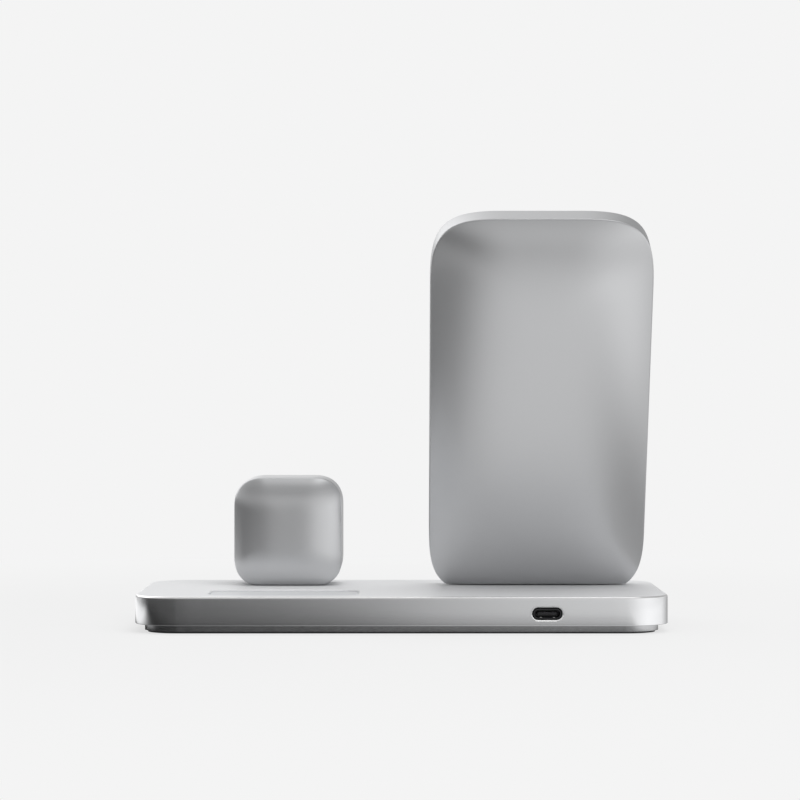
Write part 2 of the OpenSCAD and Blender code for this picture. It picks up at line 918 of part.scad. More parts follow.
function unit(a) = a / norm(a);
function beside(path, off) = [
    for (i = [0 : len(path) - 1])
        let (
            a = unit(path[min(i + 1, len(path) - 1)] - path[min(i, len(path) - 2)]),
            b = unit(path[max(i, 1)] - path[max(i - 1, 0)]),
            mid = unit(a + b),
            across = [-mid[1], mid[0]]
        )
        path[i] + across * off / (mid * a)
];

// L-shaped steel bracket: a flange below the roof and an upright in the shell
module bracket(x, y, w, screw_u) {
    difference() {
        union() {
            translate([x - w / 2 - flange_shoulder, y, flange_z])
                cube([w + 2 * flange_shoulder, flange_l, bracket_t]);
            children();
        }
        at_flange_screws(x, y, screw_u)
            translate([0, 0, flange_z - past])
                cylinder(r = screw_d / 2 + plate_hole_gap, h = bracket_t + 2 * past);
    }
}

// Upright of a bracket in its shell's frame, drilled for the shell's screws
module upright(w, w0, v0, v1, screw_u, screw_v) {
    translate([-w / 2, v0, w0])
        difference() {
            cube([w, v1 - v0, bracket_t]);
            for (u = [-screw_u, screw_u], v = screw_v)
                translate([w / 2 + u, v - v0, -past])
                    cylinder(r = screw_d / 2 + plate_hole_gap, h = bracket_t + 2 * past);
        }
}

// Everything below the middle of a bracket's flange, to trim its upright
module below_flange() {
    reach = 2 * base_w;
    translate([-reach / 2, -reach / 2, flange_z + bracket_t / 2 - reach])
        cube(reach);
}

module phone_bracket() {
    color("#8f9194")
    bracket(-phone_x, phone_flange_y, phone_bracket_w, phone_screw_u)
        difference() {
            in_phone_frame()
                upright(
                    phone_bracket_w, phone_bracket_w0, -boss_y, phone_upright,
                    phone_screw_u, phone_screw_v
                );
            below_flange();
        }
}

module phone_bracket_screws() {
    color("#8a8c90")
    in_phone_frame()
        for (u = [-phone_screw_u, phone_screw_u], v = phone_screw_v)
            translate([u, v, phone_bracket_w0])
                screw(screw_d, bracket_screw_l, screw_head_d, screw_head_h);
}

module phone_base_screws() {
    color("#8a8c90")
    at_phone_flange_screws()
        translate([0, 0, flange_z])
            screw(screw_d, flange_screw_l, screw_head_d, screw_head_h);
}

// Watch block

module watch_back_shell() {
    color("#cfd1d4")
    difference() {
        in_watch_frame()
            difference() {
                union() {
                    domed_shell(
                        watch_w, watch_l, watch_corner, watch_hold,
                        watch_side, watch_crown, watch_dome_power
                    );
                    shell_bosses(
                        watch_screw_u, watch_screw_v, watch_bracket_w0 + bracket_t,
                        watch_w, watch_crown, watch_dome_power
                    );
                }
                shell_boss_holes(watch_screw_u, watch_screw_v, watch_bracket_w0 + bracket_t);
            }
        below_base_top();
        watch_bracket_space_low();
        watch_flex_slot();
    }
}

module watch_bracket_space_low() {
    intersection() {
        watch_bracket_space();
        translate([watch_x - base_w / 2, -base_d, 0])
            cube([base_w, 2 * base_d, base_h + 2 * skin]);
    }
}

module watch_front_cover() {
    color("#d9dadc")
    in_watch_frame()
        translate([0, 0, -watch_side])
            difference() {
                cover_blank(watch_w, watch_l, watch_corner, watch_hold, rim_w + cover_gap, cover_t);
                translate([0, watch_v, -past])
                    cylinder(r = puck_r + puck_gap, h = cover_t + 2 * past);
            }
}

// Charging puck: a turned cup with a hollow face and a lip behind the cover
module watch_puck() {
    face = -watch_side - puck_rise;
    color("#f0f0f0")
    in_watch_frame()
        translate([0, watch_v, 0])
            rotate_extrude()
                difference() {
                    union() {
                        translate([0, face + puck_edge_r])
                            square([puck_r, puck_end - face - puck_edge_r]);
                        translate([0, face])
                            square([puck_r - puck_edge_r, puck_end - face]);
                        translate([puck_r - puck_edge_r, face + puck_edge_r])
                            circle(puck_edge_r);
                        translate([0, watch_cover_back])
                            square([puck_r + puck_lip, puck_lip_t]);
                    }
                    translate([0, puck_floor])
                        square([puck_r - puck_wall, puck_end - puck_floor + past]);
                    puck_hollow(face);
                    translate([-2 * puck_r, face - past])
                        square([2 * puck_r, puck_end - face + 2 * past]);
                }
}

// Section of the shallow round hollow in the puck's face
module puck_hollow(face) {
    r = (puck_hollow_r ^ 2 + puck_dish ^ 2) / (2 * puck_dish);
    translate([0, face + puck_dish - r])
        circle(r, $fn = 360);
}

module watch_magnet() {
    color("#9a9ca0")
    in_watch_frame()
        translate([0, watch_v, puck_floor])
            cylinder(r = magnet_r, h = magnet_h);
}

module watch_coil() {
    color("#b87333")
    in_watch_frame()
        translate([0, watch_v, puck_floor])
            coil(watch_coil_bore, puck_r - puck_wall - flex_gap, wire_t);
}

module watch_ferrite() {
    color("#3a3b3e")
    in_watch_frame()
        translate([0, watch_v, puck_floor + wire_t])
            difference() {
                cylinder(r = puck_r - puck_wall - flex_gap, h = ferrite_t);
                translate([0, 0, -past])
                    cylinder(r = magnet_r + flex_gap, h = ferrite_t + 2 * past);
            }
}

module watch_board() {
    color("#2f5d3a")
    in_watch_frame()
        translate([0, watch_v, puck_end]) {
            cylinder(r = puck_r, h = watch_board_t);
            translate([-watch_chip_w / 2, -watch_chip_w / 2, 0])
                cube([watch_chip_w, watch_chip_w, watch_board_t + chip_h]);
        }
}

// Flat cable from the watch board down onto the ballast and across to the main board
module watch_flex() {
    w = puck_end + watch_board_t;
    z1 = ballast_top + flex_t;
    y = watch_y_at(z1, w);
    turn_x = -board_end_x + board_w - 2 * flex_w;
    color("#c08a3e") {
        difference() {
            in_watch_frame()
                translate([-flex_w / 2, -boss_y, w])
                    cube([flex_w, boss_y + watch_flex_up, flex_t]);
            translate([watch_x - base_w, -base_d, z1 - flex_t - base_w])
                cube([2 * base_w, 2 * base_d, base_w]);
        }
        translate([0, 0, ballast_top])
            linear_extrude(flex_t)
                polygon([
                    [watch_x + flex_w / 2, y], [turn_x, y], [turn_x, board_y0],
                    [turn_x + flex_w, board_y0], [turn_x + flex_w, y + flex_w],
                    [watch_x + flex_w / 2, y + flex_w]
                ]);
    }
}

// Way of the flat cable through the block's floor and the base's roof
module watch_flex_slot() {
    reach = 8;
    in_watch_frame()
        translate([-flex_w / 2 - flex_gap, -reach, puck_end + watch_board_t - flex_gap])
            cube([flex_w + 2 * flex_gap, reach + 2 * skin, flex_t + 2 * flex_gap]);
}

module watch_bracket() {
    color("#8f9194")
    bracket(watch_x, watch_flange_y, watch_bracket_w, watch_screw_u)
        difference() {
            in_watch_frame()
                upright(
                    watch_bracket_w, watch_bracket_w0, -boss_y, watch_upright,
                    watch_screw_u, watch_screw_v
                );
            below_flange();
        }
}

module watch_bracket_screws() {
    color("#8a8c90")
    in_watch_frame()
        for (u = [-watch_screw_u, watch_screw_u], v = watch_screw_v)
            translate([u, v, watch_bracket_w0])
                screw(screw_d, bracket_screw_l, screw_head_d, screw_head_h);
}

module watch_base_screws() {
    color("#8a8c90")
    at_watch_flange_screws()
        translate([0, 0, flange_z])
            screw(screw_d, flange_screw_l, screw_head_d, screw_head_h);
}

base_housing();
base_plate();
foot_pad();
plate_screws();
ballast_plate();
main_board();
board_screws();
board_inductors();
board_chips();
board_capacitors();
usb_shell();
usb_tongue();
earbud_insert();
earbud_coil();
earbud_ferrite();
earbud_coil_holder();
earbud_flex();
ledge_pad();
phone_back_shell();
phone_front_cover();
phone_coil_tray();
phone_ferrite();
phone_coil_upper();
phone_coil_lower();
phone_flex();
phone_bracket();
phone_bracket_screws();
phone_base_screws();
watch_back_shell();
watch_front_cover();
watch_puck();
watch_magnet();
watch_coil();
watch_ferrite();
watch_board();
watch_flex();
watch_bracket();
watch_bracket_screws();
watch_base_screws();
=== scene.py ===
"""Visual model of a charging stand for a phone, a watch and an earbud case.

The classes hold their sizes in millimetres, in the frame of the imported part: origin at the
centre of the underside, +Y to the rear wall with the socket, +Z up. make_piece turns them
into metres. Each surface is a grid worked out with numpy: rings of one outline, carried
along a profile.
"""

import json
import logging
import math
from collections.abc import Sequence
from dataclasses import dataclass, field
from enum import Enum

import bpy
import numpy as np
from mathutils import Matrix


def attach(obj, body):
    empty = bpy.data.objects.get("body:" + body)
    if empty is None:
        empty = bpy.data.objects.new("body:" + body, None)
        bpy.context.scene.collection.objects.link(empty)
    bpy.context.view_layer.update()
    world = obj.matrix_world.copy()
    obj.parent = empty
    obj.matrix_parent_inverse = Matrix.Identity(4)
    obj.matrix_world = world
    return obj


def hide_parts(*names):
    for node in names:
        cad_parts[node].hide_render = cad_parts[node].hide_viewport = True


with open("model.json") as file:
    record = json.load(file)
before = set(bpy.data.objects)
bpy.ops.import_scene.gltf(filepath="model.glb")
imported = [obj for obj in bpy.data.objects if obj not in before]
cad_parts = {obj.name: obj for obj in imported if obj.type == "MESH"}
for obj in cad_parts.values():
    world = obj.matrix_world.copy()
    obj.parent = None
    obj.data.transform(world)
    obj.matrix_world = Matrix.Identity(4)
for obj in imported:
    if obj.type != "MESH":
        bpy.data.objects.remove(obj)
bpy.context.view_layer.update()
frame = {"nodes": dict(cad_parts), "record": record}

MM = 0.001
MICRON = 0.000001
BODY = "root"
LOG = logging.getLogger("stand")
WHITE = (1.0, 1.0, 1.0, 1.0)

# Short names of types
Piece = bpy.types.Object
Signal = bpy.types.NodeSocket
Faces = list[Sequence[int]]
Pair = tuple[float, float]
Triple = tuple[float, float, float]

# Sizes in millimetres that the base shares with its finish, the socket and the uprights
BASE_W = 172.6
BASE_D = 86.0
BASE_H = 12.0
CORNER_R = 14.3
PORT_X = -46.6
PORT_Z = 6.6

# Angle in degrees from which an edge is shaded sharp
SHARP = 40.0

# A box's corners, in shares of its size, and its faces
BOX_CORNERS = np.array([[x, y, z] for z in (0, 1) for y in (0, 1) for x in (0, 1)], float)
BOX_FACES = np.array([(0, 2, 3, 1), (4, 5, 7, 6), (0, 1, 5, 4), (2, 6, 7, 3), (0, 4, 6, 2), (1, 3, 7, 5)])


class Operation(Enum):
    """How a cutter acts on a piece."""

    CUT = "DIFFERENCE"
    JOIN = "UNION"


# Meshes


def ring_faces(rows: int, count: int) -> Faces:
    """Quads between neighbouring closed rings.

    Args:
        rows: Number of rings.
        count: Points in each ring.

    Returns:
        Faces of four point numbers each.
    """
    row = np.arange(rows - 1)[:, None] * count
    here = np.arange(count)[None, :]
    after = (here + 1) % count
    corners = [row + here, row + after, row + after + count, row + here + count]
    return np.stack(corners, -1).reshape(-1, 4).tolist()


def zip_faces(first: int, count: int) -> Faces:
    """Faces that close a ring which starts on its mirror line, by joining mirrored points.

    Args:
        first: Number of the ring's first point.
        count: Points in the ring, an even number.

    Returns:
        Two triangles and the quads between them.
    """
    half = count // 2
    low = first + np.arange(1, half - 1)
    high = first + count - np.arange(1, half - 1)
    quads = np.stack([low, low + 1, high - 1, high], -1).tolist()
    ends = [(first, first + 1, first + count - 1), (first + half - 1, first + half, first + half + 1)]
    return quads + ends


def signed_volume(points: np.ndarray, faces: Faces) -> float:
    """Volume inside a closed mesh, negative when its faces point inwards.

    Args:
        points: Point table.
        faces: Faces as rows of point numbers.

    Returns:
        Sum over the faces' fans of a sixth of the triple product of their corners.
    """
    total = 0.0
    sizes = np.array([len(face) for face in faces])
    for size in np.unique(sizes):
        corners = points[np.array([faces[i] for i in np.flatnonzero(sizes == size)])]
        second, third = corners[:, 1:-1], corners[:, 2:]
        first = np.broadcast_to(corners[:, :1], third.shape)
        total += np.einsum("ijk,ijk->", np.cross(second, third), first)
    return float(total) / 6.0


def make_piece(name: str, points: np.ndarray, faces: Faces) -> Piece:
    """Makes an object at the origin from points in millimetres, its faces turned outwards.

    Args:
        name: Name of the piece.
        points: Point table in millimetres.
        faces: Faces as rows of point numbers.

    Returns:
        The new object.
    """
    faces = [tuple(int(i) for i in face) for face in faces]
    if signed_volume(points, faces) < 0:
        faces = [face[::-1] for face in faces]
    mesh = bpy.data.meshes.new(name)
    mesh.from_pydata((points * MM).tolist(), [], faces)
    mesh.update()
    piece = bpy.data.objects.new(name, mesh)
    bpy.context.scene.collection.objects.link(piece)
    shade(piece, SHARP)
    return piece


def shade(piece: Piece, sharp: float) -> None:
    """Shades a piece smooth, apart from its sharp edges.

    Args:
        piece: The piece.
        sharp: Angle in degrees from which an edge is sharp.
    """
    mesh = piece.data
    mesh.polygons.foreach_set("use_smooth", np.ones(len(mesh.polygons), bool))
    mesh.set_sharp_from_angle(angle=math.radians(sharp))
    mesh.update()


def combine(piece: Piece, cutter: Piece, operation: Operation, sharp: float = SHARP) -> None:
    """Cuts a closed piece with another, or joins them, and removes the other.

    Args:
        piece: The piece that is changed.
        cutter: The closed piece that acts on it.
        operation: Whether it cuts or joins.
        sharp: Angle in degrees from which an edge is shaded sharp.
    """
    step = piece.modifiers.new("step", "BOOLEAN")
    step.operation = operation.value
    step.solver = "EXACT"
    step.object = cutter
    depsgraph = bpy.context.evaluated_depsgraph_get()
    result = bpy.data.meshes.new_from_object(piece.evaluated_get(depsgraph))
    piece.modifiers.clear()
    old = piece.data
    name = old.name
    piece.data = result
    bpy.data.meshes.remove(old)
    result.name = name
    bpy.data.objects.remove(cutter)
    shade(piece, sharp)


# Outlines


def mirrored_rings(x: list[np.ndarray], y: list[np.ndarray], z: np.ndarray) -> np.ndarray:
    """Rings whose first half is given and whose second half is its mirror image.

    Args:
        x: Stretches of the first half, each a table of rings and distances from the mirror line.
        y: The same stretches' places along the mirror line.
        z: Height of each ring.

    Returns:
        Table of rings, points and coordinates.
    """
    x = np.concatenate(x, 1)
    y = np.concatenate(y, 1)
    x = np.concatenate([x, -x[:, -2:0:-1]], 1)
    y = np.concatenate([y, y[:, -2:0:-1]], 1)
    return np.stack([x, y, np.broadcast_to(np.asarray(z, float)[:, None], x.shape)], -1)


def shares(steps: int) -> np.ndarray:
    """Equal steps from nought to just under one, as a single row."""
    return (np.arange(steps) / steps)[None, :]


@dataclass(frozen=True)
class SoftOutline:
    """Rectangle with soft corners, each a cubic curve that runs on from both its sides.

    Attributes:
        w: Width.
        l: Length.
        corner: Length of each corner along its sides.
        hold: Share of that length which pulls the curve out to the corner.
        corner_steps: Steps in a corner.
        side_steps: Steps in a side.
        end_steps: Steps in half an end.
    """

    w: float
    l: float
    corner: float
    hold: float
    corner_steps: int = 22
    side_steps: int = 18
    end_steps: int = 8

    def bend(self, length: np.ndarray, t: np.ndarray) -> np.ndarray:
        """Distance in from the side: 3 (1 - t) t^2 length (1 - hold) + t^3 length."""
        return 3 * (1 - t) * t**2 * length * (1 - self.hold) + t**3 * length

    def rings(self, inset: np.ndarray, z: np.ndarray) -> np.ndarray:
        """Rings of the outline moved in by distances and raised to heights.

        Each ring starts at the middle of the lower end and runs anticlockwise: half the end,
        a corner, the side, a corner, half the upper end, and the mirror image of all that.

        Args:
            inset: Distance in from the outline, one for each ring.
            z: Height of each ring.

        Returns:
            Table of rings, points and coordinates, the lower end at y = 0.
        """
        inset = np.asarray(inset, float)[:, None]
        a = self.w / 2 - inset
        b = self.l / 2 - inset
        length = self.corner * (1 - 2 * inset / self.w)
        t, side, end = shares(self.corner_steps), shares(self.side_steps), shares(self.end_steps)
        rising, falling = self.bend(length, t), self.bend(length, 1 - t)
        x = [(a - length) * end, a - falling, a + 0 * side, a - rising, (a - length) * (1 - end), 0 * a]
        y = [-b + 0 * end, rising - b, (b - length) * (2 * side - 1), b - falling, b + 0 * end, b]
        return mirrored_rings(x, y, z) + np.array([0.0, self.l / 2, 0.0])


@dataclass(frozen=True)
class RoundOutline:
    """Rectangle with round corners about a centre, its ring starting at the middle of the front.

    Attributes:
        w: Width.
        d: Depth.
        r: Radius of its corners.
        centre: Its centre.
        corner_steps: Steps in a corner.
        side_steps: Steps in half a side.
        least_r: Radius that the corners keep however far a ring moves in.
    """

    w: float
    d: float
    r: float
    centre: Pair = (0.0, 0.0)
    corner_steps: int = 20
    side_steps: int = 12
    least_r: float = 0.01

    def rings(self, inset: np.ndarray, z: np.ndarray) -> np.ndarray:
        """Rings of the outline moved in by distances and raised to heights.

        A corner's point is its centre plus the radius times the cosine and sine of its angle.

        Args:
            inset: Distance in from the outline, one for each ring.
            z: Height of each ring.

        Returns:
            Table of rings, points and coordinates.
        """
        inset = np.asarray(inset, float)[:, None]
        a = self.w / 2 - inset
        b = self.d / 2 - inset
        r = np.maximum(self.r - inset, self.least_r)
        turn = shares(self.corner_steps) * math.pi / 2
        part = shares(self.side_steps)
        whole = 2 * shares(2 * self.side_steps) - 1
        sine, cosine = r * np.sin(turn), r * np.cos(turn)
        x = [(a - r) * part, a - r + sine, a + 0 * whole, a - r + cosine, (a - r) * (1 - part), 0 * a]
        y = [-b + 0 * part, r - b - cosine, (b - r) * whole, b - r + sine, b + 0 * part, b]
        return mirrored_rings(x, y, z) + np.array([*self.centre, 0.0])


def closed_stack(rings: np.ndarray) -> tuple[np.ndarray, Faces]:
    """Closed surface through a stack of rings, each end closed by joining mirrored points.

    Args:
        rings: Table of rings, points and coordinates.

    Returns:
        Point table and faces.
    """
    rows, count, _ = rings.shape
    faces = ring_faces(rows, count)
    faces += [face[::-1] for face in zip_faces(0, count)]
    faces += zip_faces((rows - 1) * count, count)
    return rings.reshape(-1, 3), faces


def rounding(r: float, steps: int) -> tuple[np.ndarray, np.ndarray]:
    """Quarter circle from an upright side to a flat top, or a plain corner where the radius is nought.

    Args:
        r: Radius.
        steps: Number of steps.

    Returns:
        Insets and heights below the top: r (1 - cos) and r (1 - sin) of the angle.
    """
    angle = np.linspace(0, math.pi / 2, steps + 1 if r else 1)
    return r * (1 - np.cos(angle)), r * (1 - np.sin(angle))


def slab(
    name: str, outline: RoundOutline, z0: float, z1: float, top_r: float = 0.0, low_r: float = 0.0
) -> Piece:
    """Closed slab with rounded rims.

    Args:
        name: Name of the piece.
        outline: Its outline.
        z0: Height of its underside.
        z1: Height of its top.
        top_r: Radius of the top rim.
        low_r: Radius of the lower rim.

    Returns:
        The new object.
    """
    near, far = 0.35, 1.0
    low_in, low_down = rounding(low_r, 5)
    top_in, top_down = rounding(top_r, 6)
    inset = np.concatenate([[low_r + far], low_in[::-1], top_in, [top_r + near, top_r + far]])
    z = np.concatenate([[z0], z0 + low_down[::-1], z1 - top_down, [z1, z1]])
    return make_piece(name, *closed_stack(outline.rings(inset, z)))


def boxes(name: str, low: np.ndarray, size: np.ndarray) -> Piece:
    """Plain boxes of one size, as one piece.

    A corner is the box's lowest corner plus the size times nought or one along each axis.

    Args:
        name: Name of the piece.
        low: Table of the boxes' lowest corners.
        size: Their size along each axis.

    Returns:
        The new object.
    """
    points = (low[:, None, :] + BOX_CORNERS * size).reshape(-1, 3)
    faces = (BOX_FACES + 8 * np.arange(len(low))[:, None, None]).reshape(-1, 4)
    return make_piece(name, points, faces.tolist())


def revolve(profile: np.ndarray, steps: int) -> tuple[np.ndarray, Faces]:
    """Turned solid from a section that starts and ends on the axis.

    A point of the section at distance r turns to r cos(angle) and r sin(angle).

    Args:
        profile: Table of distance from the axis and height, the first and last on the axis.
        steps: Number of steps round.

    Returns:
        Point table and faces.
    """
    angle = shares(steps) * 2 * math.pi
    r, z = profile[1:-1, :1], profile[1:-1, 1:]
    rings = np.stack([r * np.cos(angle), r * np.sin(angle), np.broadcast_to(z, (len(z), steps))], -1)
    points = np.concatenate([rings.reshape(-1, 3), [[0, 0, profile[0, 1]], [0, 0, profile[-1, 1]]]])
    here = np.arange(steps)
    after = (here + 1) % steps
    last = (len(z) - 1) * steps
    pole = np.full(steps, len(points) - 2)
    faces = ring_faces(len(z), steps)
    faces += np.stack([after, here, pole], -1).tolist()
    faces += np.stack([last + here, last + after, pole + 1], -1).tolist()
    return points, faces


# Materials


class Tree:
    """Short ways to place and join the nodes of one tree."""

    def __init__(self, tree: bpy.types.NodeTree) -> None:
        """Keeps the tree that nodes are placed in."""
        self.tree = tree

    def fill(self, node: bpy.types.Node, inputs: dict) -> bpy.types.Node:
        """Sets a node's inputs.

        Args:
            node: The node.
            inputs: Values or sockets by input name or number.

        Returns:
            The same node.
        """
        for name, value in inputs.items():
            if isinstance(value, Signal):
                self.tree.links.new(value, node.inputs[name])
            else:
                node.inputs[name].default_value = value
        return node

    def add(self, kind: str, inputs: dict | None = None, **settings: object) -> bpy.types.Node:
        """Places a node.

        Args:
            kind: Node type without its ShaderNode prefix.
            inputs: Values or sockets by input name or number.
            settings: Properties of the node.

        Returns:
            The node.
        """
        node = self.tree.nodes.new("ShaderNode" + kind)
        for name, value in settings.items():
            setattr(node, name, value)
        return self.fill(node, inputs or {})

    def group(self, group: bpy.types.NodeTree, inputs: dict) -> bpy.types.Node:
        """Places a shared group with its own values."""
        return self.add("Group", inputs, node_tree=group)

    def math(self, operation: str, *values: object, clamp: bool = False) -> Signal:
        """Result of one sum on numbers or sockets."""
        return self.add("Math", dict(enumerate(values)), operation=operation, use_clamp=clamp).outputs[0]

    def vector(self, operation: str, *values: object) -> Signal:
        """Result of one sum on vectors: a vector, or a number for a length."""
        node = self.add("VectorMath", dict(enumerate(values)), operation=operation)
        return node.outputs["Value" if operation == "LENGTH" else "Vector"]

    def times(self, first: object, *others: object) -> Signal:
        """Product of numbers or sockets.

        Args:
            first: The first of them.
            others: The rest.

        Returns:
            The product.
        """
        for value in others:
            first = self.math("MULTIPLY", first, value)
        return first

    def less(self, share: object) -> Signal:
        """What a share leaves of one."""
        return self.math("SUBTRACT", 1.0, share)

    def axes(self, vector: Signal) -> Sequence[Signal]:
        """The three coordinates of a vector."""
        return self.add("SeparateXYZ", {0: vector}).outputs

    def span(
        self,
        value: Signal,
        source: Pair,
        target: Pair = (0.0, 1.0),
        smooth: bool = True,
    ) -> Signal:
        """Value carried from one span to another and held at its ends.

        Args:
            value: The value.
            source: Its first span, which may run downwards.
            target: The span that it is carried to.
            smooth: Whether it starts and ends softly.

        Returns:
            The new value.
        """
        kind = "SMOOTHSTEP" if smooth else "LINEAR"
        values = dict(enumerate((value, *source, *target)))
        return self.add("MapRange", values, interpolation_type=kind).outputs[0]

    def mix(self, share: object, low: object, high: object) -> Signal:
        """Number between two numbers or sockets, by a share."""
        return self.add("Mix", {0: share, 2: low, 3: high}, data_type="FLOAT").outputs[0]

    def blend(self, share: Signal, low: object, high: object) -> Signal:
        """Colour between two colours, by a share."""
        return self.add("Mix", {0: share, 6: low, 7: high}, data_type="RGBA").outputs[2]


def empty_tree(holder: bpy.types.Material | bpy.types.World) -> Tree:
    """Node tree of a material or a world, without its first nodes.

    Args:
        holder: The material or the world.

    Returns:
        Its empty tree.
    """
    holder.use_nodes = True
    holder.node_tree.nodes.clear()
    return Tree(holder.node_tree)


class SharedGroup:
    """A shader node group that materials place with values of their own.

    Attributes:
        NAME: Name of the group.
        INPUTS: Its number inputs, after the vector that comes first, with their first values.
        OUTPUTS: Its number outputs.
    """

    NAME: str
    INPUTS: dict[str, float] = {}
    OUTPUTS: tuple[str, ...]

    def __init__(self) -> None:
        """Makes the sockets and lays the nodes once."""
        self.tree = bpy.data.node_groups.new(self.NAME, "ShaderNodeTree")
        sockets = self.tree.interface
        sockets.new_socket(name="Vector", in_out="INPUT", socket_type="NodeSocketVector")
        for name, value in self.INPUTS.items():
            sockets.new_socket(name=name, in_out="INPUT", socket_type="NodeSocketFloat").default_value = value
        for name in self.OUTPUTS:
            sockets.new_socket(name=name, in_out="OUTPUT", socket_type="NodeSocketFloat")
        tree = Tree(self.tree)
        start = self.tree.nodes.new("NodeGroupInput")
        results = self.lay(tree, *start.outputs[: 1 + len(self.INPUTS)])
        tree.fill(self.tree.nodes.new("NodeGroupOutput"), dict(enumerate(results)))

    def lay(self, tree: Tree, vector: Signal, *values: Signal) -> tuple[Signal, ...]:
        """Lays the nodes between the inputs and the outputs.

        Args:
            tree: The group's tree.
            vector: The vector input.
            values: The number inputs.

        Returns:
            One result for each output.
        """
        raise NotImplementedError


class Grain(SharedGroup):
    """Shared group: fine grain at one scale and slow cloud at another, on object coordinates.

    Attributes:
        COARSE: Share of the grain's scale at which its coarser part lies.
        MIDDLE: The part of a noise that is spread over a whole mask.
    """

    NAME = "surface_grain"
    INPUTS = {"Grain Scale": 4000.0, "Cloud Scale": 14.0}
    OUTPUTS = ("Height", "Speckle", "Cloud")
    COARSE = 0.37
    MIDDLE = (0.3, 0.7)

    def lay(self, tree: Tree, vector: Signal, grain: Signal, cloud: Signal) -> tuple[Signal, ...]:
        """Lays three noises.

        Args:
            tree: The group's tree.
            vector: The vector input.
            grain: Scale of the grain.
            cloud: Scale of the cloud.

        Returns:
            Mean height of the grain's two noises, the coarser of them and the cloud as masks.
        """
        fine = tree.add("TexNoise", {"Vector": vector, "Scale": grain, "Detail": 3.0, "Roughness": 0.6})
        scale = tree.times(grain, self.COARSE)
        coarse = tree.add("TexNoise", {"Vector": vector, "Scale": scale, "Detail": 2.0})
        slow = tree.add("TexNoise", {"Vector": vector, "Scale": cloud, "Detail": 4.0, "Roughness": 0.55})
        height = tree.times(tree.math("ADD", fine.outputs[0], coarse.outputs[0]), 0.5)
        return height, tree.span(coarse.outputs[0], self.MIDDLE), tree.span(slow.outputs[0], self.MIDDLE)


class Rub(SharedGroup):
    """Shared group: mask of the thin rims that handling polishes, broken up by noise."""

    NAME = "rim_rub"
    INPUTS = {"Width": 0.06, "Break Scale": 300.0}
    OUTPUTS = ("Mask",)

    def lay(self, tree: Tree, vector: Signal, width: Signal, scale: Signal) -> tuple[Signal, ...]:
        """Lays the mask: how far the surface bends outwards, over the width, times a noise.

        Args:
            tree: The group's tree.
            vector: The vector input.
            width: Bend at which the mask is whole.
            scale: Scale of the noise.

        Returns:
            The mask alone.
        """
        bend = tree.math("SUBTRACT", tree.add("NewGeometry").outputs["Pointiness"], 0.5)
        noise = tree.add("TexNoise", {"Vector": vector, "Scale": scale, "Detail": 3.0})
        broken = tree.span(noise.outputs[0], (0.35, 0.65), (0.3, 1.0))
        return (tree.times(tree.math("DIVIDE", bend, width, clamp=True), broken),)


class Round(SharedGroup):
    """Shared group: tone of the studio round the stand, by the direction of a vector seen from above.

    The direction is the arc tangent of x over y in turns, half a turn on, so 0.5 is behind
    the stand. A ramp of soft lights and dark cloths then gives the tone.

    Attributes:
        TONES: Directions in degrees from straight behind, the watch's side above nought, with
            the tone of each.
        TOP: The highest tone, which the ramp's white stands for.
    """

    NAME = "round_tone"
    OUTPUTS = ("Tone",)
    TONES = (
        (-180, 0.76), (-174, 0.62), (-165, 0.50), (-150, 0.45), (-130, 0.8), (-112, 1.15), (-95, 1.25),
        (-60, 1.35), (-40, 1.2), (-22, 1.0), (-10, 0.92), (-5, 0.88), (-2, 0.8), (-0.5, 0.54),
        (0.7, 0.27), (2.2, 0.13), (5, 0.095), (35, 0.085), (80, 0.085), (98, 0.13), (110, 0.5),
        (121, 1.05), (150, 1.1), (165, 1.05), (174, 0.94), (180, 0.76),
    )
    TOP = 1.35

    def lay(self, tree: Tree, vector: Signal) -> tuple[Signal, ...]:
        """Lays the direction and its ramp.

        Args:
            tree: The group's tree.
            vector: The vector input.

        Returns:
            The tone alone.
        """
        x, y, _ = tree.axes(vector)
        turn = tree.math("MULTIPLY_ADD", tree.math("ARCTAN2", x, y), 0.5 / math.pi, 0.5)
        node = tree.add("ValToRGB", {0: turn})
        stops = node.color_ramp.elements
        while len(stops) < len(self.TONES):
            stops.new(1.0)
        for stop, (degrees, tone) in zip(stops, self.TONES):
            stop.position = degrees / 360 + 0.5
            stop.color = (*(tone / self.TOP,) * 3, 1.0)
        return (tree.times(node.outputs[0], self.TOP),)


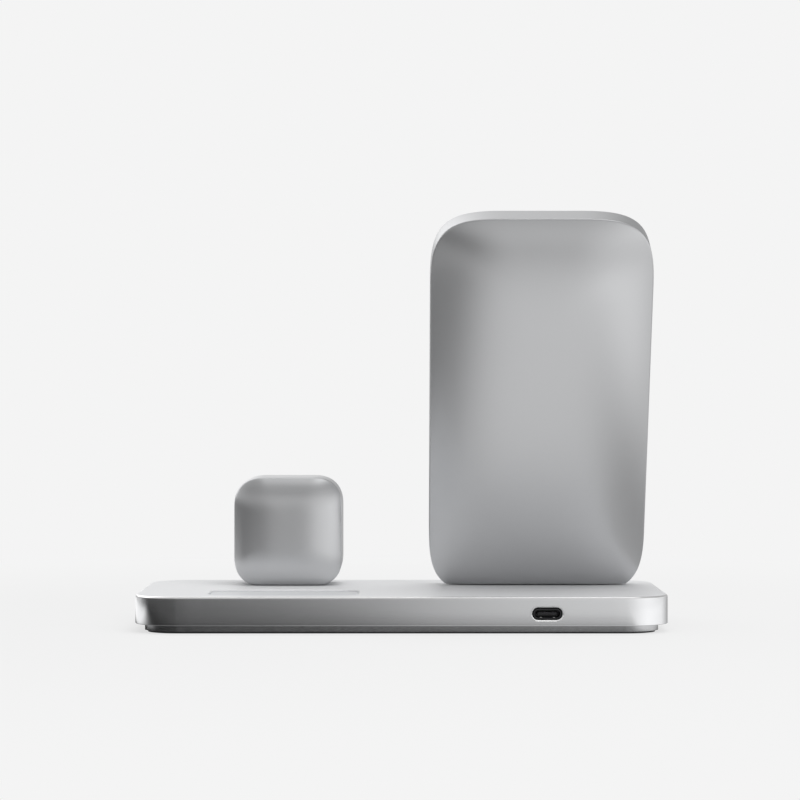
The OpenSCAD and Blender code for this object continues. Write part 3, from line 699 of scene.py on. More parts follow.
@dataclass(frozen=True)
class Finish:
    """A surface finish with grain, slow cloud and its own shine.

    Attributes:
        name: Name of the material, which is the record's slot.
        colour: Mean colour, linear.
        rough: Mean roughness.
        rough_span: Half the roughness that grain and cloud add.
        tone_span: Share by which grain and cloud lighten and darken the colour.
        grain: Grains per metre.
        cloud: Clouds per metre.
        bump: Depth of the grain in micrometres.
        metallic: One for bare or plated metal.
        coat: Weight of a clear coat.
        sheen: Weight of a dusty sheen.
        rub: Share of lightening on rubbed rims.
        CLOUD_IN_TONE: Share of the cloud in the drift of the colour; the speckle has the rest.
        CLOUD_IN_SHINE: The same for the roughness.
        COAT_ROUGH: Roughness of a clear coat.
    """

    CLOUD_IN_TONE = 0.6
    CLOUD_IN_SHINE = 0.5
    COAT_ROUGH = 0.15
    name: str
    colour: Triple
    rough: float
    rough_span: float
    tone_span: float
    grain: float
    cloud: float
    bump: float
    metallic: float = 0.0
    coat: float = 0.0
    sheen: float = 0.0
    rub: float = 0.0

    def build(self, grain: Grain, rub: Rub) -> bpy.types.Material:
        """Makes the material.

        Args:
            grain: The shared group of the grain.
            rub: The shared group of the rubbed rims.

        Returns:
            The material.
        """
        material = bpy.data.materials.new(self.name)
        tree = empty_tree(material)
        where = tree.add("TexCoord").outputs["Object"]
        scales = {"Vector": where, "Grain Scale": self.grain, "Cloud Scale": self.cloud}
        height, speckle, cloud = tree.group(grain.tree, scales).outputs
        colour = self.colour_nodes(tree, where, tree.mix(self.CLOUD_IN_TONE, speckle, cloud))
        if self.rub:
            mask = tree.group(rub.tree, {"Vector": where}).outputs[0]
            light = (min(1.0, c + self.rub) for c in self.colour)
            colour = tree.blend(mask, colour, (*light, 1.0))
        spread = (self.rough - self.rough_span, self.rough + self.rough_span)
        mixed = tree.mix(self.CLOUD_IN_SHINE, speckle, cloud)
        rough = tree.span(mixed, (0.0, 1.0), spread, smooth=False)
        bump = tree.add("Bump", {"Strength": 1.0, "Distance": self.bump * MICRON, "Height": height})
        colour, metallic, rough = self.zone_nodes(tree, colour, rough)
        shader = tree.add(
            "BsdfPrincipled",
            {
                "Base Color": colour,
                "Metallic": metallic,
                "Roughness": rough,
                "Coat Weight": self.coat,
                "Coat Roughness": self.COAT_ROUGH,
                "Sheen Weight": self.sheen,
                "Normal": bump.outputs[0],
            },
        )
        tree.add("OutputMaterial", {"Surface": shader.outputs[0]})
        return material

    def colour_nodes(self, tree: Tree, where: Signal, drift: Signal) -> Signal:
        """Colour that drifts with the cloud and, less, with the speckle.

        Args:
            tree: The material's tree.
            where: Object coordinates.
            drift: Mask of the cloud and the speckle.

        Returns:
            The colour.
        """
        low = (c * (1 - self.tone_span) for c in self.colour)
        high = (min(1.0, c * (1 + self.tone_span)) for c in self.colour)
        return tree.blend(drift, (*low, 1.0), (*high, 1.0))

    def zone_nodes(self, tree: Tree, colour: Signal, rough: Signal) -> tuple[Signal, object, Signal]:
        """Colour, metallic share and roughness after the treatment of zones; none here."""
        return colour, self.metallic, rough


@dataclass(frozen=True)
class TrayFinish(Finish):
    """Satin metal with a matt top face and polished rounded edges, whose colour is lightened as a painted
    highlight.

    Attributes:
        top_metal: Metallic share of the top face.
        top_rough: Roughness of the top face.
        edge_rough: Roughness of the edges.
        painted_highlight_tone: Colour of the painted highlight on the edges.
        level: Shares of the normal that look up where the top face starts and is whole.
        rising: The same for the edges.
        skin: Depths in millimetres where the outer skin starts and is whole.
        sunk: Depths where the bevel of the socket's opening starts and is whole.
        bevel_x: Distances from the opening's middle, to the side, where its bevel ends.
        bevel_z: The same, up and down.
    """

    top_metal: float = 0.18
    top_rough: float = 0.5
    edge_rough: float = 0.2
    painted_highlight_tone: float = 1.0
    level: Pair = (0.97, 0.998)
    rising: Pair = (0.08, 0.25)
    skin: Pair = (1.5, 0.8)
    sunk: Pair = (0.04, 0.12)
    bevel_x: Pair = (7.5, 6.5)
    bevel_z: Pair = (3.4, 2.8)

    def zone_nodes(self, tree: Tree, colour: Signal, rough: Signal) -> tuple[Signal, Signal, Signal]:
        """Makes the top matt, and the edges polished and lightened as a painted highlight.

        The distance beyond an inner box, whose sides stand one corner's radius within the
        base's, tells the outer skin from the sunk places and the hollow. Those are as matt as
        the top, and so is the bevel of the socket's opening.

        Args:
            tree: The material's tree.
            colour: The colour before.
            rough: The roughness before.

        Returns:
            Colour, metallic share and roughness.
        """
        coordinates = tree.add("TexCoord").outputs
        where = tree.vector("MULTIPLY", coordinates["Object"], (1 / MM,) * 3)
        up = tree.axes(coordinates["Normal"])[2]
        # The inner box is higher than any point, so height adds nothing to the distance
        inner = (BASE_W / 2 - CORNER_R, BASE_D / 2 - CORNER_R, 1 / MM)
        beyond = tree.vector("SUBTRACT", tree.vector("ABSOLUTE", where), inner)
        out = tree.vector("LENGTH", tree.vector("MAXIMUM", beyond, (0.0, 0.0, 0.0)))
        depth = tree.math("SUBTRACT", CORNER_R, out)
        skin = tree.span(depth, self.skin)
        level = tree.span(up, self.level)
        edge = tree.times(skin, tree.math("SUBTRACT", tree.span(up, self.rising), level, clamp=True))
        port = tree.vector("SUBTRACT", where, (PORT_X, BASE_D / 2, PORT_Z))
        x, _, z = tree.axes(tree.vector("ABSOLUTE", port))
        around = tree.times(tree.span(x, self.bevel_x), tree.span(z, self.bevel_z))
        bevel = tree.times(tree.span(depth, self.sunk), around)
        matt = tree.math("MAXIMUM", tree.math("MAXIMUM", level, tree.less(skin)), bevel)
        # Painted highlight: the rounded edges' colour is lightened towards white
        colour = tree.blend(edge, colour, (*(self.painted_highlight_tone,) * 3, 1.0))
        metal = tree.span(matt, (0.0, 1.0), (self.metallic, self.top_metal), smooth=False)
        rough = tree.math("MULTIPLY_ADD", matt, self.top_rough - self.rough, rough)
        return colour, metal, tree.math("MULTIPLY_ADD", edge, self.edge_rough - self.rough, rough)


@dataclass(frozen=True)
class BoardFinish(Finish):
    """Solder mask with copper tracks showing through.

    Attributes:
        track: Colour of a track under the mask.
    """

    track: Triple = (0.09, 0.28, 0.12)

    def colour_nodes(self, tree: Tree, where: Signal, drift: Signal) -> Signal:
        """Mask colour with thin parallel tracks, kept where a noise allows them.

        Args:
            tree: The material's tree.
            where: Object coordinates.
            drift: Mask of the cloud and the speckle.

        Returns:
            The colour.
        """
        bands = {"Vector": where, "Scale": 190.0, "Distortion": 3.0, "Detail": 0.0, "Detail Scale": 0.4}
        wave = tree.add("TexWave", bands, wave_type="BANDS", bands_direction="DIAGONAL").outputs[1]
        allowed = tree.add("TexNoise", {"Vector": where, "Scale": 140.0, "Detail": 1.0}).outputs[0]
        tracks = tree.times(tree.span(wave, (0.7, 0.8)), tree.span(allowed, (0.48, 0.52)))
        return tree.blend(tracks, super().colour_nodes(tree, where, drift), (*self.track, 1.0))


# Name, colour, roughness and its span, span of the tone, grains and clouds, depth, and the rest by name
FINISHES = (
    TrayFinish("satin_silver", (0.745, 0.75, 0.76), 0.17, 0.01, 0.01, 5200.0, 11.0, 0.2, metallic=1.0),
    Finish("shell_silver", (0.65, 0.655, 0.665), 0.37, 0.015, 0.01, 3600.0, 9.0, 1.0, metallic=1.0),
    Finish("foot_grey", (0.5, 0.504, 0.512), 0.22, 0.02, 0.03, 2400.0, 20.0, 2.0, metallic=0.96),
    Finish("cover_grey", (0.62, 0.63, 0.645), 0.55, 0.05, 0.02, 3000.0, 10.0, 12.0, sheen=0.1),
    Finish("rubber_grey", (0.045, 0.046, 0.05), 0.8, 0.08, 0.1, 1800.0, 30.0, 30.0),
    Finish("rest_rubber", (0.3, 0.305, 0.315), 0.7, 0.06, 0.04, 2200.0, 24.0, 20.0, sheen=0.15),
    Finish("steel", (0.55, 0.56, 0.57), 0.38, 0.08, 0.06, 1600.0, 40.0, 10.0, metallic=1.0, rub=0.2),
    # socket_steel is nearly black: painted shade standing in for the dark inside of the socket's opening
    Finish("socket_steel", (0.07, 0.07, 0.073), 0.35, 0.05, 0.04, 2600.0, 60.0, 4.0, metallic=1.0),
    BoardFinish("board_green", (0.012, 0.085, 0.035), 0.35, 0.05, 0.08, 3000.0, 60.0, 10.0),
    Finish("chip_black", (0.014, 0.014, 0.016), 0.45, 0.08, 0.1, 3000.0, 80.0, 10.0),
    Finish("ceramic_tan", (0.36, 0.24, 0.12), 0.5, 0.08, 0.08, 3000.0, 90.0, 10.0),
    Finish("copper", (0.72, 0.33, 0.17), 0.28, 0.06, 0.08, 2000.0, 90.0, 10.0, metallic=1.0, coat=0.5),
    Finish("ferrite", (0.035, 0.035, 0.038), 0.5, 0.1, 0.12, 2000.0, 50.0, 20.0, metallic=0.2),
    Finish("white_plastic", (0.78, 0.78, 0.79), 0.32, 0.04, 0.015, 2600.0, 16.0, 6.0),
    Finish("flex_amber", (0.42, 0.16, 0.025), 0.35, 0.06, 0.1, 2000.0, 60.0, 10.0, coat=0.4),
    Finish("magnet_nickel", (0.66, 0.65, 0.63), 0.15, 0.05, 0.03, 2000.0, 60.0, 4.0, metallic=1.0),
)


class Dresser:
    """Gives pieces and CAD nodes their finishes by the record's slots."""

    def __init__(self) -> None:
        """Builds every finish once."""
        grain, rub = Grain(), Rub()
        self.materials = {finish.name: finish.build(grain, rub) for finish in FINISHES}

    def new_piece(self, piece: Piece, slot: str, nodes: Sequence[str]) -> None:
        """Dresses a new piece and ties it to the frame.

        Args:
            piece: The new piece.
            slot: The record's slot for its finish.
            nodes: CAD nodes that it stands for.
        """
        piece.data.materials.clear()
        piece.data.materials.append(self.materials[slot])
        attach(piece, BODY)
        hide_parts(*nodes)
        LOG.info("%s: %d faces, for %s", piece.name, len(piece.data.polygons), ", ".join(nodes))

    def cad_nodes(self) -> None:
        """Dresses every CAD node by the slot that the record gives it."""
        slots = {part["node"]: part["material_slot"] for part in frame["record"]["subparts"]}
        for name, node in frame["nodes"].items():
            material = self.materials[slots[name]]
            for place in node.material_slots:
                place.material = material
            if not node.material_slots:
                node.data.materials.append(material)


# Base


@dataclass
class Base:
    """The low base: its housing, the earbud insert and the rest for the phone.

    Attributes:
        rim_r: Bevel of the housing's lower rim.
        wall_ring: Height above that rim of a ring that keeps the outer wall straight.
        roof_rings: Distances in from the inner wall of the rings that keep the roof level.
        top_rings: The same for the top face, in from the rounded edge.
        plate_top: Height of the base plate, on which the bosses stand.
        boss_sink: Depth that a boss goes into the roof.
        dish: Width, depth and corner radius of the place for the earbud case.
        dish_drop: Depth of the insert's face under the top.
        insert_gap: Clearance round the insert.
        insert_lip: Width of the insert's flange under the roof.
        insert_rings: Distances in of the rings that keep the insert's back and face level.
        ledge: Width, depth and corner radius of the place for the rest.
        ledge_fit: Clearance round the rest.
        ledge_rise: Height of the rest above the top.
        ledge_lip: Height of the rest's lip above the rest.
        past: Distance that a cutter runs past the face that it cuts.
        port_sharp: Angle in degrees from which the housing's edges are sharp.
    """

    w: float = BASE_W
    d: float = BASE_D
    h: float = BASE_H
    corner_r: float = CORNER_R
    edge_r: float = 0.7
    wall: float = 1.8
    foot_h: float = 2.7
    rim_r: float = 0.15
    wall_ring: float = 2.5
    roof_rings: Pair = (1.0, 0.3)
    top_rings: Pair = (0.4, 1.2)
    plate_top: float = 3.9
    boss_d: float = 6.0
    boss_sink: float = 0.9
    boss_x: tuple[float, ...] = (-75.3, 0, 75.3)
    boss_y: tuple[float, ...] = (-33, 33)
    dish_centre: Pair = (38.4, 21.7)
    dish: Triple = (48.6, 26.4, 6.0)
    dish_r: float = 0.3
    dish_drop: float = 0.6
    insert_gap: float = 0.03
    insert_lip: float = 2.0
    insert_lip_t: float = 0.8
    insert_r: float = 0.1
    insert_rings: Triple = (0.5, 0.7, 1.5)
    ledge_centre: Pair = (-45.7, -32.62)
    ledge: Triple = (58.0, 9.0, 3.0)
    ledge_r: float = 0.25
    ledge_sink: float = 0.8
    ledge_fit: float = 0.1
    ledge_rise: float = 0.6
    ledge_lip: float = 1.6
    rest_r: float = 0.25
    lip_t: float = 2.2
    lip_r: float = 0.6
    past: float = 1.0
    port_cut: Pair = (9.84, 4.1)
    port_bevel: float = 0.35
    port_sharp: float = 28.0

    @property
    def roof(self) -> float:
        """Height of the roof's underside."""
        return self.h - self.wall

    def build(self, dresser: Dresser) -> None:
        """Builds the base's pieces and ties them to the frame.

        Args:
            dresser: What gives each piece its finish and ties it.
        """
        dresser.new_piece(self.housing(), "satin_silver", ["base_housing"])
        dresser.new_piece(self.insert(), "cover_grey", ["earbud_insert"])
        dresser.new_piece(self.rest(), "rest_rubber", ["ledge_pad"])

    def housing(self) -> Piece:
        """Builds the housing: a closed tray of rings, with its openings cut.

        The profile runs from the roof's underside down the inner wall, round the lower rim, up the outer wall
        and round the bright edge, polished and lightened by a painted highlight, to the flat top.

        Returns:
            The housing.
        """
        roof, low = self.roof, self.foot_h
        across, down = rounding(self.edge_r, 8)
        inside = [*np.add(self.wall, self.roof_rings), self.wall, self.wall]
        inset = np.concatenate([inside, [self.rim_r, 0.0, 0.0], across, np.add(self.edge_r, self.top_rings)])
        outside = [low, low + self.rim_r, low + self.wall_ring]
        z = np.concatenate([[roof, roof, roof, low], outside, self.h - down, [self.h, self.h]])
        outline = RoundOutline(self.w, self.d, self.corner_r, corner_steps=28, side_steps=16)
        housing = make_piece("housing", *closed_stack(outline.rings(inset, z)))
        for x in self.boss_x:
            for y in self.boss_y:
                circle = RoundOutline(self.boss_d, self.boss_d, self.boss_d / 2, (x, y), 8, 1)
                boss = slab("boss", circle, self.plate_top, roof + self.boss_sink)
                combine(housing, boss, Operation.JOIN)
        dish = self.flared("dish", RoundOutline(*self.dish, self.dish_centre), roof - self.past, self.dish_r)
        combine(housing, dish, Operation.CUT)
        seat = RoundOutline(*self.ledge, self.ledge_centre)
        ledge = self.flared("ledge", seat, self.h - self.ledge_sink, self.ledge_r)
        combine(housing, ledge, Operation.CUT)
        combine(housing, self.port_cutter(), Operation.CUT, self.port_sharp)
        return housing

    def flared(self, name: str, outline: RoundOutline, z0: float, r: float) -> Piece:
        """Cutter for a place sunk in the top, which rounds off the edge round it.

        Args:
            name: Name of the cutter.
            outline: Outline of the place.
            z0: Height of its floor.
            r: Radius of its edge.

        Returns:
            The cutter.
        """
        across, down = rounding(r, 5)
        end, high = 1.0, self.h + self.past
        inset = np.concatenate([[end, 0.0], -across, [-r, end]])
        z = np.concatenate([[z0, z0], self.h - r + down[::-1], [high, high]])
        wide = RoundOutline(outline.w + 2 * r, outline.d + 2 * r, outline.r + r, outline.centre)
        return make_piece(name, *closed_stack(wide.rings(inset + r, z)))

    def port_cutter(self) -> Piece:
        """Builds the cutter of the socket's opening: a round-ended hole that flares at the wall.

        A ring is the hole's outline grown by a distance and set at a depth; the distance
        grows over the last part of the wall for the bevel.

        Returns:
            The cutter.
        """
        bevel, end = self.port_bevel, -1.5
        deep = -self.wall - self.past
        grow = np.array([end, 0.0, 0.0, bevel, bevel, end])
        depth = self.d / 2 + np.array([deep, deep, -bevel, 0.0, self.past, self.past])
        w, h = (size + 2 * bevel for size in self.port_cut)
        rings = RoundOutline(w, h, h / 2, corner_steps=14, side_steps=2).rings(bevel - grow, depth)
        upright = np.stack([rings[..., 0] + PORT_X, rings[..., 2], rings[..., 1] + PORT_Z], -1)
        return make_piece("port_cutter", *closed_stack(upright))

    def insert(self) -> Piece:
        """Builds the earbud insert: a slab with a soft rim and a flange below the roof.

        Returns:
            The insert.
        """
        low = self.roof - self.insert_lip_t
        top = self.h - self.dish_drop
        across, down = rounding(self.insert_r, 5)
        w, d, r = self.dish
        lip = self.insert_lip
        under, *over = np.add(self.insert_gap, self.insert_rings)
        inset = np.concatenate([[under, -lip, -lip, self.insert_gap], self.insert_gap + across, over])
        z = np.concatenate([[low, low, self.roof, self.roof], top - down, [top, top]])
        outline = RoundOutline(w + 2 * lip, d + 2 * lip, r + lip, self.dish_centre)
        return make_piece("insert", *closed_stack(outline.rings(inset + lip, z)))

    def rest(self) -> Piece:
        """Builds the rubber rest: a sunk slab with a raised lip along its front.

        Returns:
            The rest.
        """
        x, y = self.ledge_centre
        fit, r = self.ledge_fit, self.ledge[2]
        w, d = self.ledge[0] - 2 * fit, self.ledge[1] - 2 * fit
        low = self.h - self.ledge_sink
        top = self.h + self.ledge_rise
        rest = slab("rest", RoundOutline(w, d, r - fit, (x, y)), low, top, self.rest_r)
        front = (x, y + (self.lip_t - d) / 2)
        bar = RoundOutline(w - 2 * r, self.lip_t, self.lip_t / 2 - fit, front)
        combine(rest, slab("lip", bar, low, top + self.ledge_lip, self.lip_r), Operation.JOIN)
        return rest


# Socket


@dataclass
class Socket:
    """The inside of the USB-C inlet: its tongue with contacts and the springs in its shell.

    Attributes:
        mouth_y: Place of the inlet's mouth.
        tongue: Width, length and thickness of the tongue.
        tongue_set: Distance of the tongue's leading edge from the mouth.
        contact_set: The same for the contacts.
        spring_set: The same for the springs.
        shell_low: Height of the middle above the shell's floor.
    """

    mouth_y: float = 42.6
    tongue: Triple = (6.69, 4.5, 0.7)
    tongue_set: float = 0.9
    tongue_r: float = 0.5
    tongue_bevel: float = 0.12
    contacts: int = 12
    contact_pitch: float = 0.5
    contact: Triple = (0.26, 3.4, 0.04)
    contact_set: float = 1.25
    shell_low: float = 1.28
    spring_x: float = 2.1
    spring_r: float = 0.55
    spring_rise: float = 0.3
    spring_set: float = 1.0

    def build(self, dresser: Dresser) -> None:
        """Builds the socket's pieces and ties them to the frame.

        Args:
            dresser: What gives each piece its finish and ties it.
        """
        dresser.new_piece(self.tongue_piece(), "chip_black", ["usb_tongue"])
        dresser.new_piece(self.contact_piece(), "steel", [])
        dresser.new_piece(self.spring_piece(), "magnet_nickel", [])

    def tongue_piece(self) -> Piece:
        """Builds the tongue: a slab with round corners and a bevelled leading edge.

        Returns:
            The tongue.
        """
        w, l, t = self.tongue
        middle = (PORT_X, self.mouth_y - self.tongue_set - l / 2)
        outline = RoundOutline(w, l, self.tongue_r, middle, 8, 4)
        bevel = self.tongue_bevel
        return slab("tongue", outline, PORT_Z - t / 2, PORT_Z + t / 2, bevel, bevel)

    def contact_piece(self) -> Piece:
        """Builds both rows of contacts as one piece of thin boxes.

        Returns:
            The contacts.
        """
        w, l, t = self.contact
        half = self.tongue[2] / 2
        row = PORT_X - w / 2 + (np.arange(self.contacts) - (self.contacts - 1) / 2) * self.contact_pitch
        x, z = (grid.ravel() for grid in np.meshgrid(row, [PORT_Z + half, PORT_Z - half - t]))
        y = np.full(x.size, self.mouth_y - self.contact_set - l)
        return boxes("contacts", np.stack([x, y, z], -1), np.array(self.contact))

    def spring_piece(self) -> Piece:
        """Builds the two springs on the shell's floor: domes of one ring table each.

        A ring at an angle has the radius times its cosine and the rise times its sine.

        Returns:
            The springs.
        """
        angle = np.linspace(0, math.pi / 2, 7)[:-1]
        r = np.concatenate([[0.0], self.spring_r * np.cos(angle), [0.0]])
        h = np.concatenate([[0.0], self.spring_rise * np.sin(angle), [self.spring_rise]])
        points, faces = revolve(np.stack([r, h], -1), 20)
        places = PORT_X + np.array([-1, 1]) * self.spring_x
        y, z = self.mouth_y - self.spring_set, PORT_Z - self.shell_low
        both = np.concatenate([points + np.array([x, y, z]) for x in places])
        faces = faces + [[i + len(points) for i in face] for face in faces]
        return make_piece("springs", both, faces)


# Leaning pieces


@dataclass
class LeaningPiece:
    """A pillow-shaped shell with its front cover, standing on the base at a lean.

    Attributes:
        name: Start of the names of its pieces.
        outline: Its outline with soft corners.
        origin: Place of the middle of the outline's lower end.
        lean: Angle back from upright, in degrees.
        side: Depth of its straight side wall.
        crown: Height of its domed back.
        power: Power of the dome's curve.
        crease: Length of the soft turn from side to dome.
        shadow_gap: Gap between the shell's trimmed end and the base.
        skin: Thickness of the shell.
        ceiling: The dome's thickness in skins.
        rim_w: Width of the rim round the cover.
        rim_bevel: Radius of the rim's outer edge.
        rim_in: Bevel of its inner edge.
        last_ring: Share of the reach at which the dome's last ring lies.
        crowding: Power that crowds the dome's rings towards its rim.
        cover_rings: Distances in of the rings that keep the cover's back and face level.
    """

    name: str
    outline: SoftOutline
    origin: Triple
    lean: float
    side: float
    crown: float
    power: float
    crease: float = 0.5
    shadow_gap: float = 0.3
    skin: float = 2.2
    ceiling: float = 1.2
    rim_w: float = 1.3
    rim_bevel: float = 0.4
    rim_in: float = 0.1
    last_ring: float = 0.985
    crowding: float = 1.5
    cover_t: float = 2.0
    cover_gap: float = 0.15
    cover_r: float = 0.35
    cover_rings: Triple = (1.0, 0.8, 2.0)
    outer_rings: int = 56
    inner_rings: int = 24

    def to_world(self, points: np.ndarray) -> np.ndarray:
        """Turns local points to the frame: x to the phone's side, y up the lean, z to the back.

        Args:
            points: Table of local points, whose last index is the coordinate.

        Returns:
            The points in the frame: y leans back by the sine of the angle, z sinks by it.
        """
        s, c = math.sin(math.radians(self.lean)), math.cos(math.radians(self.lean))
        x, y, z = points[..., 0], points[..., 1], points[..., 2]
        return np.stack([-x, y * s + z * c, y * c - z * s], -1) + np.array(self.origin)

    def dome(self, inset: np.ndarray) -> np.ndarray:
        """Height of the dome: crown (1 - (1 - inset / reach)^power), reach being half the width."""
        reach = self.outline.w / 2
        return self.crown * (1 - (1 - np.minimum(inset, reach) / reach) ** self.power)

    def dome_insets(self, start: float, rings: int) -> np.ndarray:
        """Insets of a dome's rings: start plus share^crowding of the way to the last ring."""
        end = self.last_ring * self.outline.w / 2
        return start + (end - start) * np.linspace(0, 1, rings) ** self.crowding

    def shell_profile(self) -> tuple[np.ndarray, np.ndarray]:
        """Insets and heights from the top of the dome round the rim to the inside of the dome.

        The crease is a quadratic curve between a point on the side wall and one on the dome,
        both drawn to the corner between them.

        Returns:
            Insets and heights.
        """
        outer = self.dome_insets(self.crease, self.outer_rings)[::-1]
        inner = self.dome_insets(self.skin, self.inner_rings)
        t = np.linspace(0, 1, 11)[1:-1]
        turn_in = (1 - t) ** 2 * self.crease
        turn_z = (1 - t) ** 2 * self.dome(np.array(self.crease)) - t**2 * self.crease
        bevel, _ = rounding(self.rim_bevel, 4)
        front = -self.side
        seat = front + self.cover_t
        rim = [self.rim_w - self.rim_in, self.rim_w, self.rim_w, self.skin]
        rim_z = [front, front + self.rim_in, seat, seat]
        side_z = [-self.crease, front + self.rim_bevel]
        ceiling = self.dome(inner) - self.ceiling * self.skin
        inset = np.concatenate([outer, turn_in, [0.0, 0.0], bevel[1:], rim, inner])
        z = np.concatenate([self.dome(outer), turn_z, side_z, front + bevel[::-1][1:], rim_z, ceiling])
        return inset, z

    def shell(self) -> Piece:
        """Builds the shell and trims it at the base top.

        Returns:
            The shell.
        """
        inset, z = self.shell_profile()
        shell = make_piece(self.name + "_shell", *closed_stack(self.to_world(self.outline.rings(inset, z))))
        reach = 100.0
        size = np.array([2 * reach, 2 * reach, reach + BASE_H + self.shadow_gap])
        combine(shell, boxes("below", np.full((1, 3), -reach), size), Operation.CUT)
        return shell

    def cover(self) -> Piece:
        """Builds the front cover, its front edge rounded.

        Returns:
            The cover.
        """
        gap = self.rim_w + self.cover_gap
        across, down = rounding(self.cover_r, 6)
        face = -self.side
        back = face + self.cover_t
        behind, *before = np.add(gap, self.cover_rings)
        inset = np.concatenate([[behind, gap], gap + across, before])
        z = np.concatenate([[back, back], face + down, [face, face]])
        return make_piece(self.name + "_cover", *closed_stack(self.to_world(self.outline.rings(inset, z))))


@dataclass
class PhonePanel(LeaningPiece):
    """The tall panel that carries a phone."""

    name: str = "phone"
    outline: SoftOutline = SoftOutline(72.8, 135.8, 23.0, 0.8)
    origin: Triple = (-45.7, -19.4, 8.8)
    lean: float = 23.5
    side: float = 7.9
    crown: float = 8.5
    power: float = 3.0

    def build(self, dresser: Dresser) -> None:
        """Builds the panel's pieces and ties them to the frame."""
        dresser.new_piece(self.shell(), "shell_silver", ["phone_back_shell"])
        dresser.new_piece(self.cover(), "cover_grey", ["phone_front_cover"])


@dataclass
class WatchBlock(LeaningPiece):
    """The small upright block that carries a watch on a round puck.

    Attributes:
        puck_v: Height of the puck's middle up the block.
        puck_r: Radius of the puck.
        puck_rise: Distance that the puck stands before the cover.
        puck_hollow: Depth of its hollow face.
        puck_gap: Clearance in the cover's hole.
        puck_rim: Width of the rim round the hollow.
        puck_edge_r: Radius of the rim's edge.
        puck_lip: Width of the lip behind the cover.
        puck_lip_t: Thickness of that lip.
        puck_back: Length of the puck's wall behind the cover.
        puck_wall: Thickness of that wall.
        puck_floor: Thickness of its face.
    """

    name: str = "watch"
    outline: SoftOutline = SoftOutline(36.6, 37.0, 9.7, 0.63)
    origin: Triple = (38.4, -12.5, 11.75)
    lean: float = 0.5
    side: float = 21.0
    crown: float = 4.5
    power: float = 4.0
    puck_v: float = 18.5
    puck_r: float = 14.5
    puck_rise: float = 1.2
    puck_hollow: float = 0.7
    puck_gap: float = 0.2
    puck_rim: float = 1.5
    puck_edge_r: float = 0.6
    puck_lip: float = 1.1
    puck_lip_t: float = 1.0
    puck_back: float = 2.5
    puck_wall: float = 1.3
    puck_floor: float = 1.4

    def build(self, dresser: Dresser) -> None:
        """Builds the block's pieces and ties them to the frame.

        Args:
            dresser: What gives each piece its finish and ties it.
        """
        dresser.new_piece(self.shell(), "shell_silver", ["watch_back_shell"])
        cover = self.cover()
        r, past = self.puck_r + self.puck_gap, 5.0
        hole = self.turned("hole", np.array([[0, -past], [r, -past], [r, past], [0, past]]))
        combine(cover, hole, Operation.CUT)
        dresser.new_piece(cover, "cover_grey", ["watch_front_cover"])
        dresser.new_piece(self.puck(), "white_plastic", ["watch_puck"])

    def turned(self, name: str, profile: np.ndarray) -> Piece:
        """Turned piece about the puck's axis, its heights counted from the cover's face to the back."""
        points, faces = revolve(profile, 96)
        return make_piece(name, self.to_world(points + np.array([0, self.puck_v, -self.side])), faces)

    def puck(self) -> Piece:
        """Builds the puck: a cup with a hollow face, a round rim and a lip behind the cover.

        The hollow's depth is its greatest depth times one minus the square of the share of
        its radius.

        Returns:
            The puck.
        """
        share = np.linspace(0, 1, 16)
        angle = np.linspace(0, math.pi / 2, 8)
        r, edge, face = self.puck_r, self.puck_edge_r, -self.puck_rise
        lip, inner = r + self.puck_lip, r - self.puck_wall
        lip_z = self.cover_t + self.puck_lip_t
        back, floor = self.cover_t + self.puck_back, face + self.puck_floor
        hollow = [share * (r - self.puck_rim), face + self.puck_hollow * (1 - share**2)]
        rim = [r - edge + edge * np.sin(angle), face + edge - edge * np.cos(angle)]
        rear = [[r, self.cover_t], [lip, self.cover_t], [lip, lip_z], [r, lip_z], [r, back], [inner, back]]
        profile = [np.stack(hollow, -1), np.stack(rim, -1), rear, [[inner, floor], [0, floor]]]
        return self.turned("puck", np.concatenate(profile))


# Studio


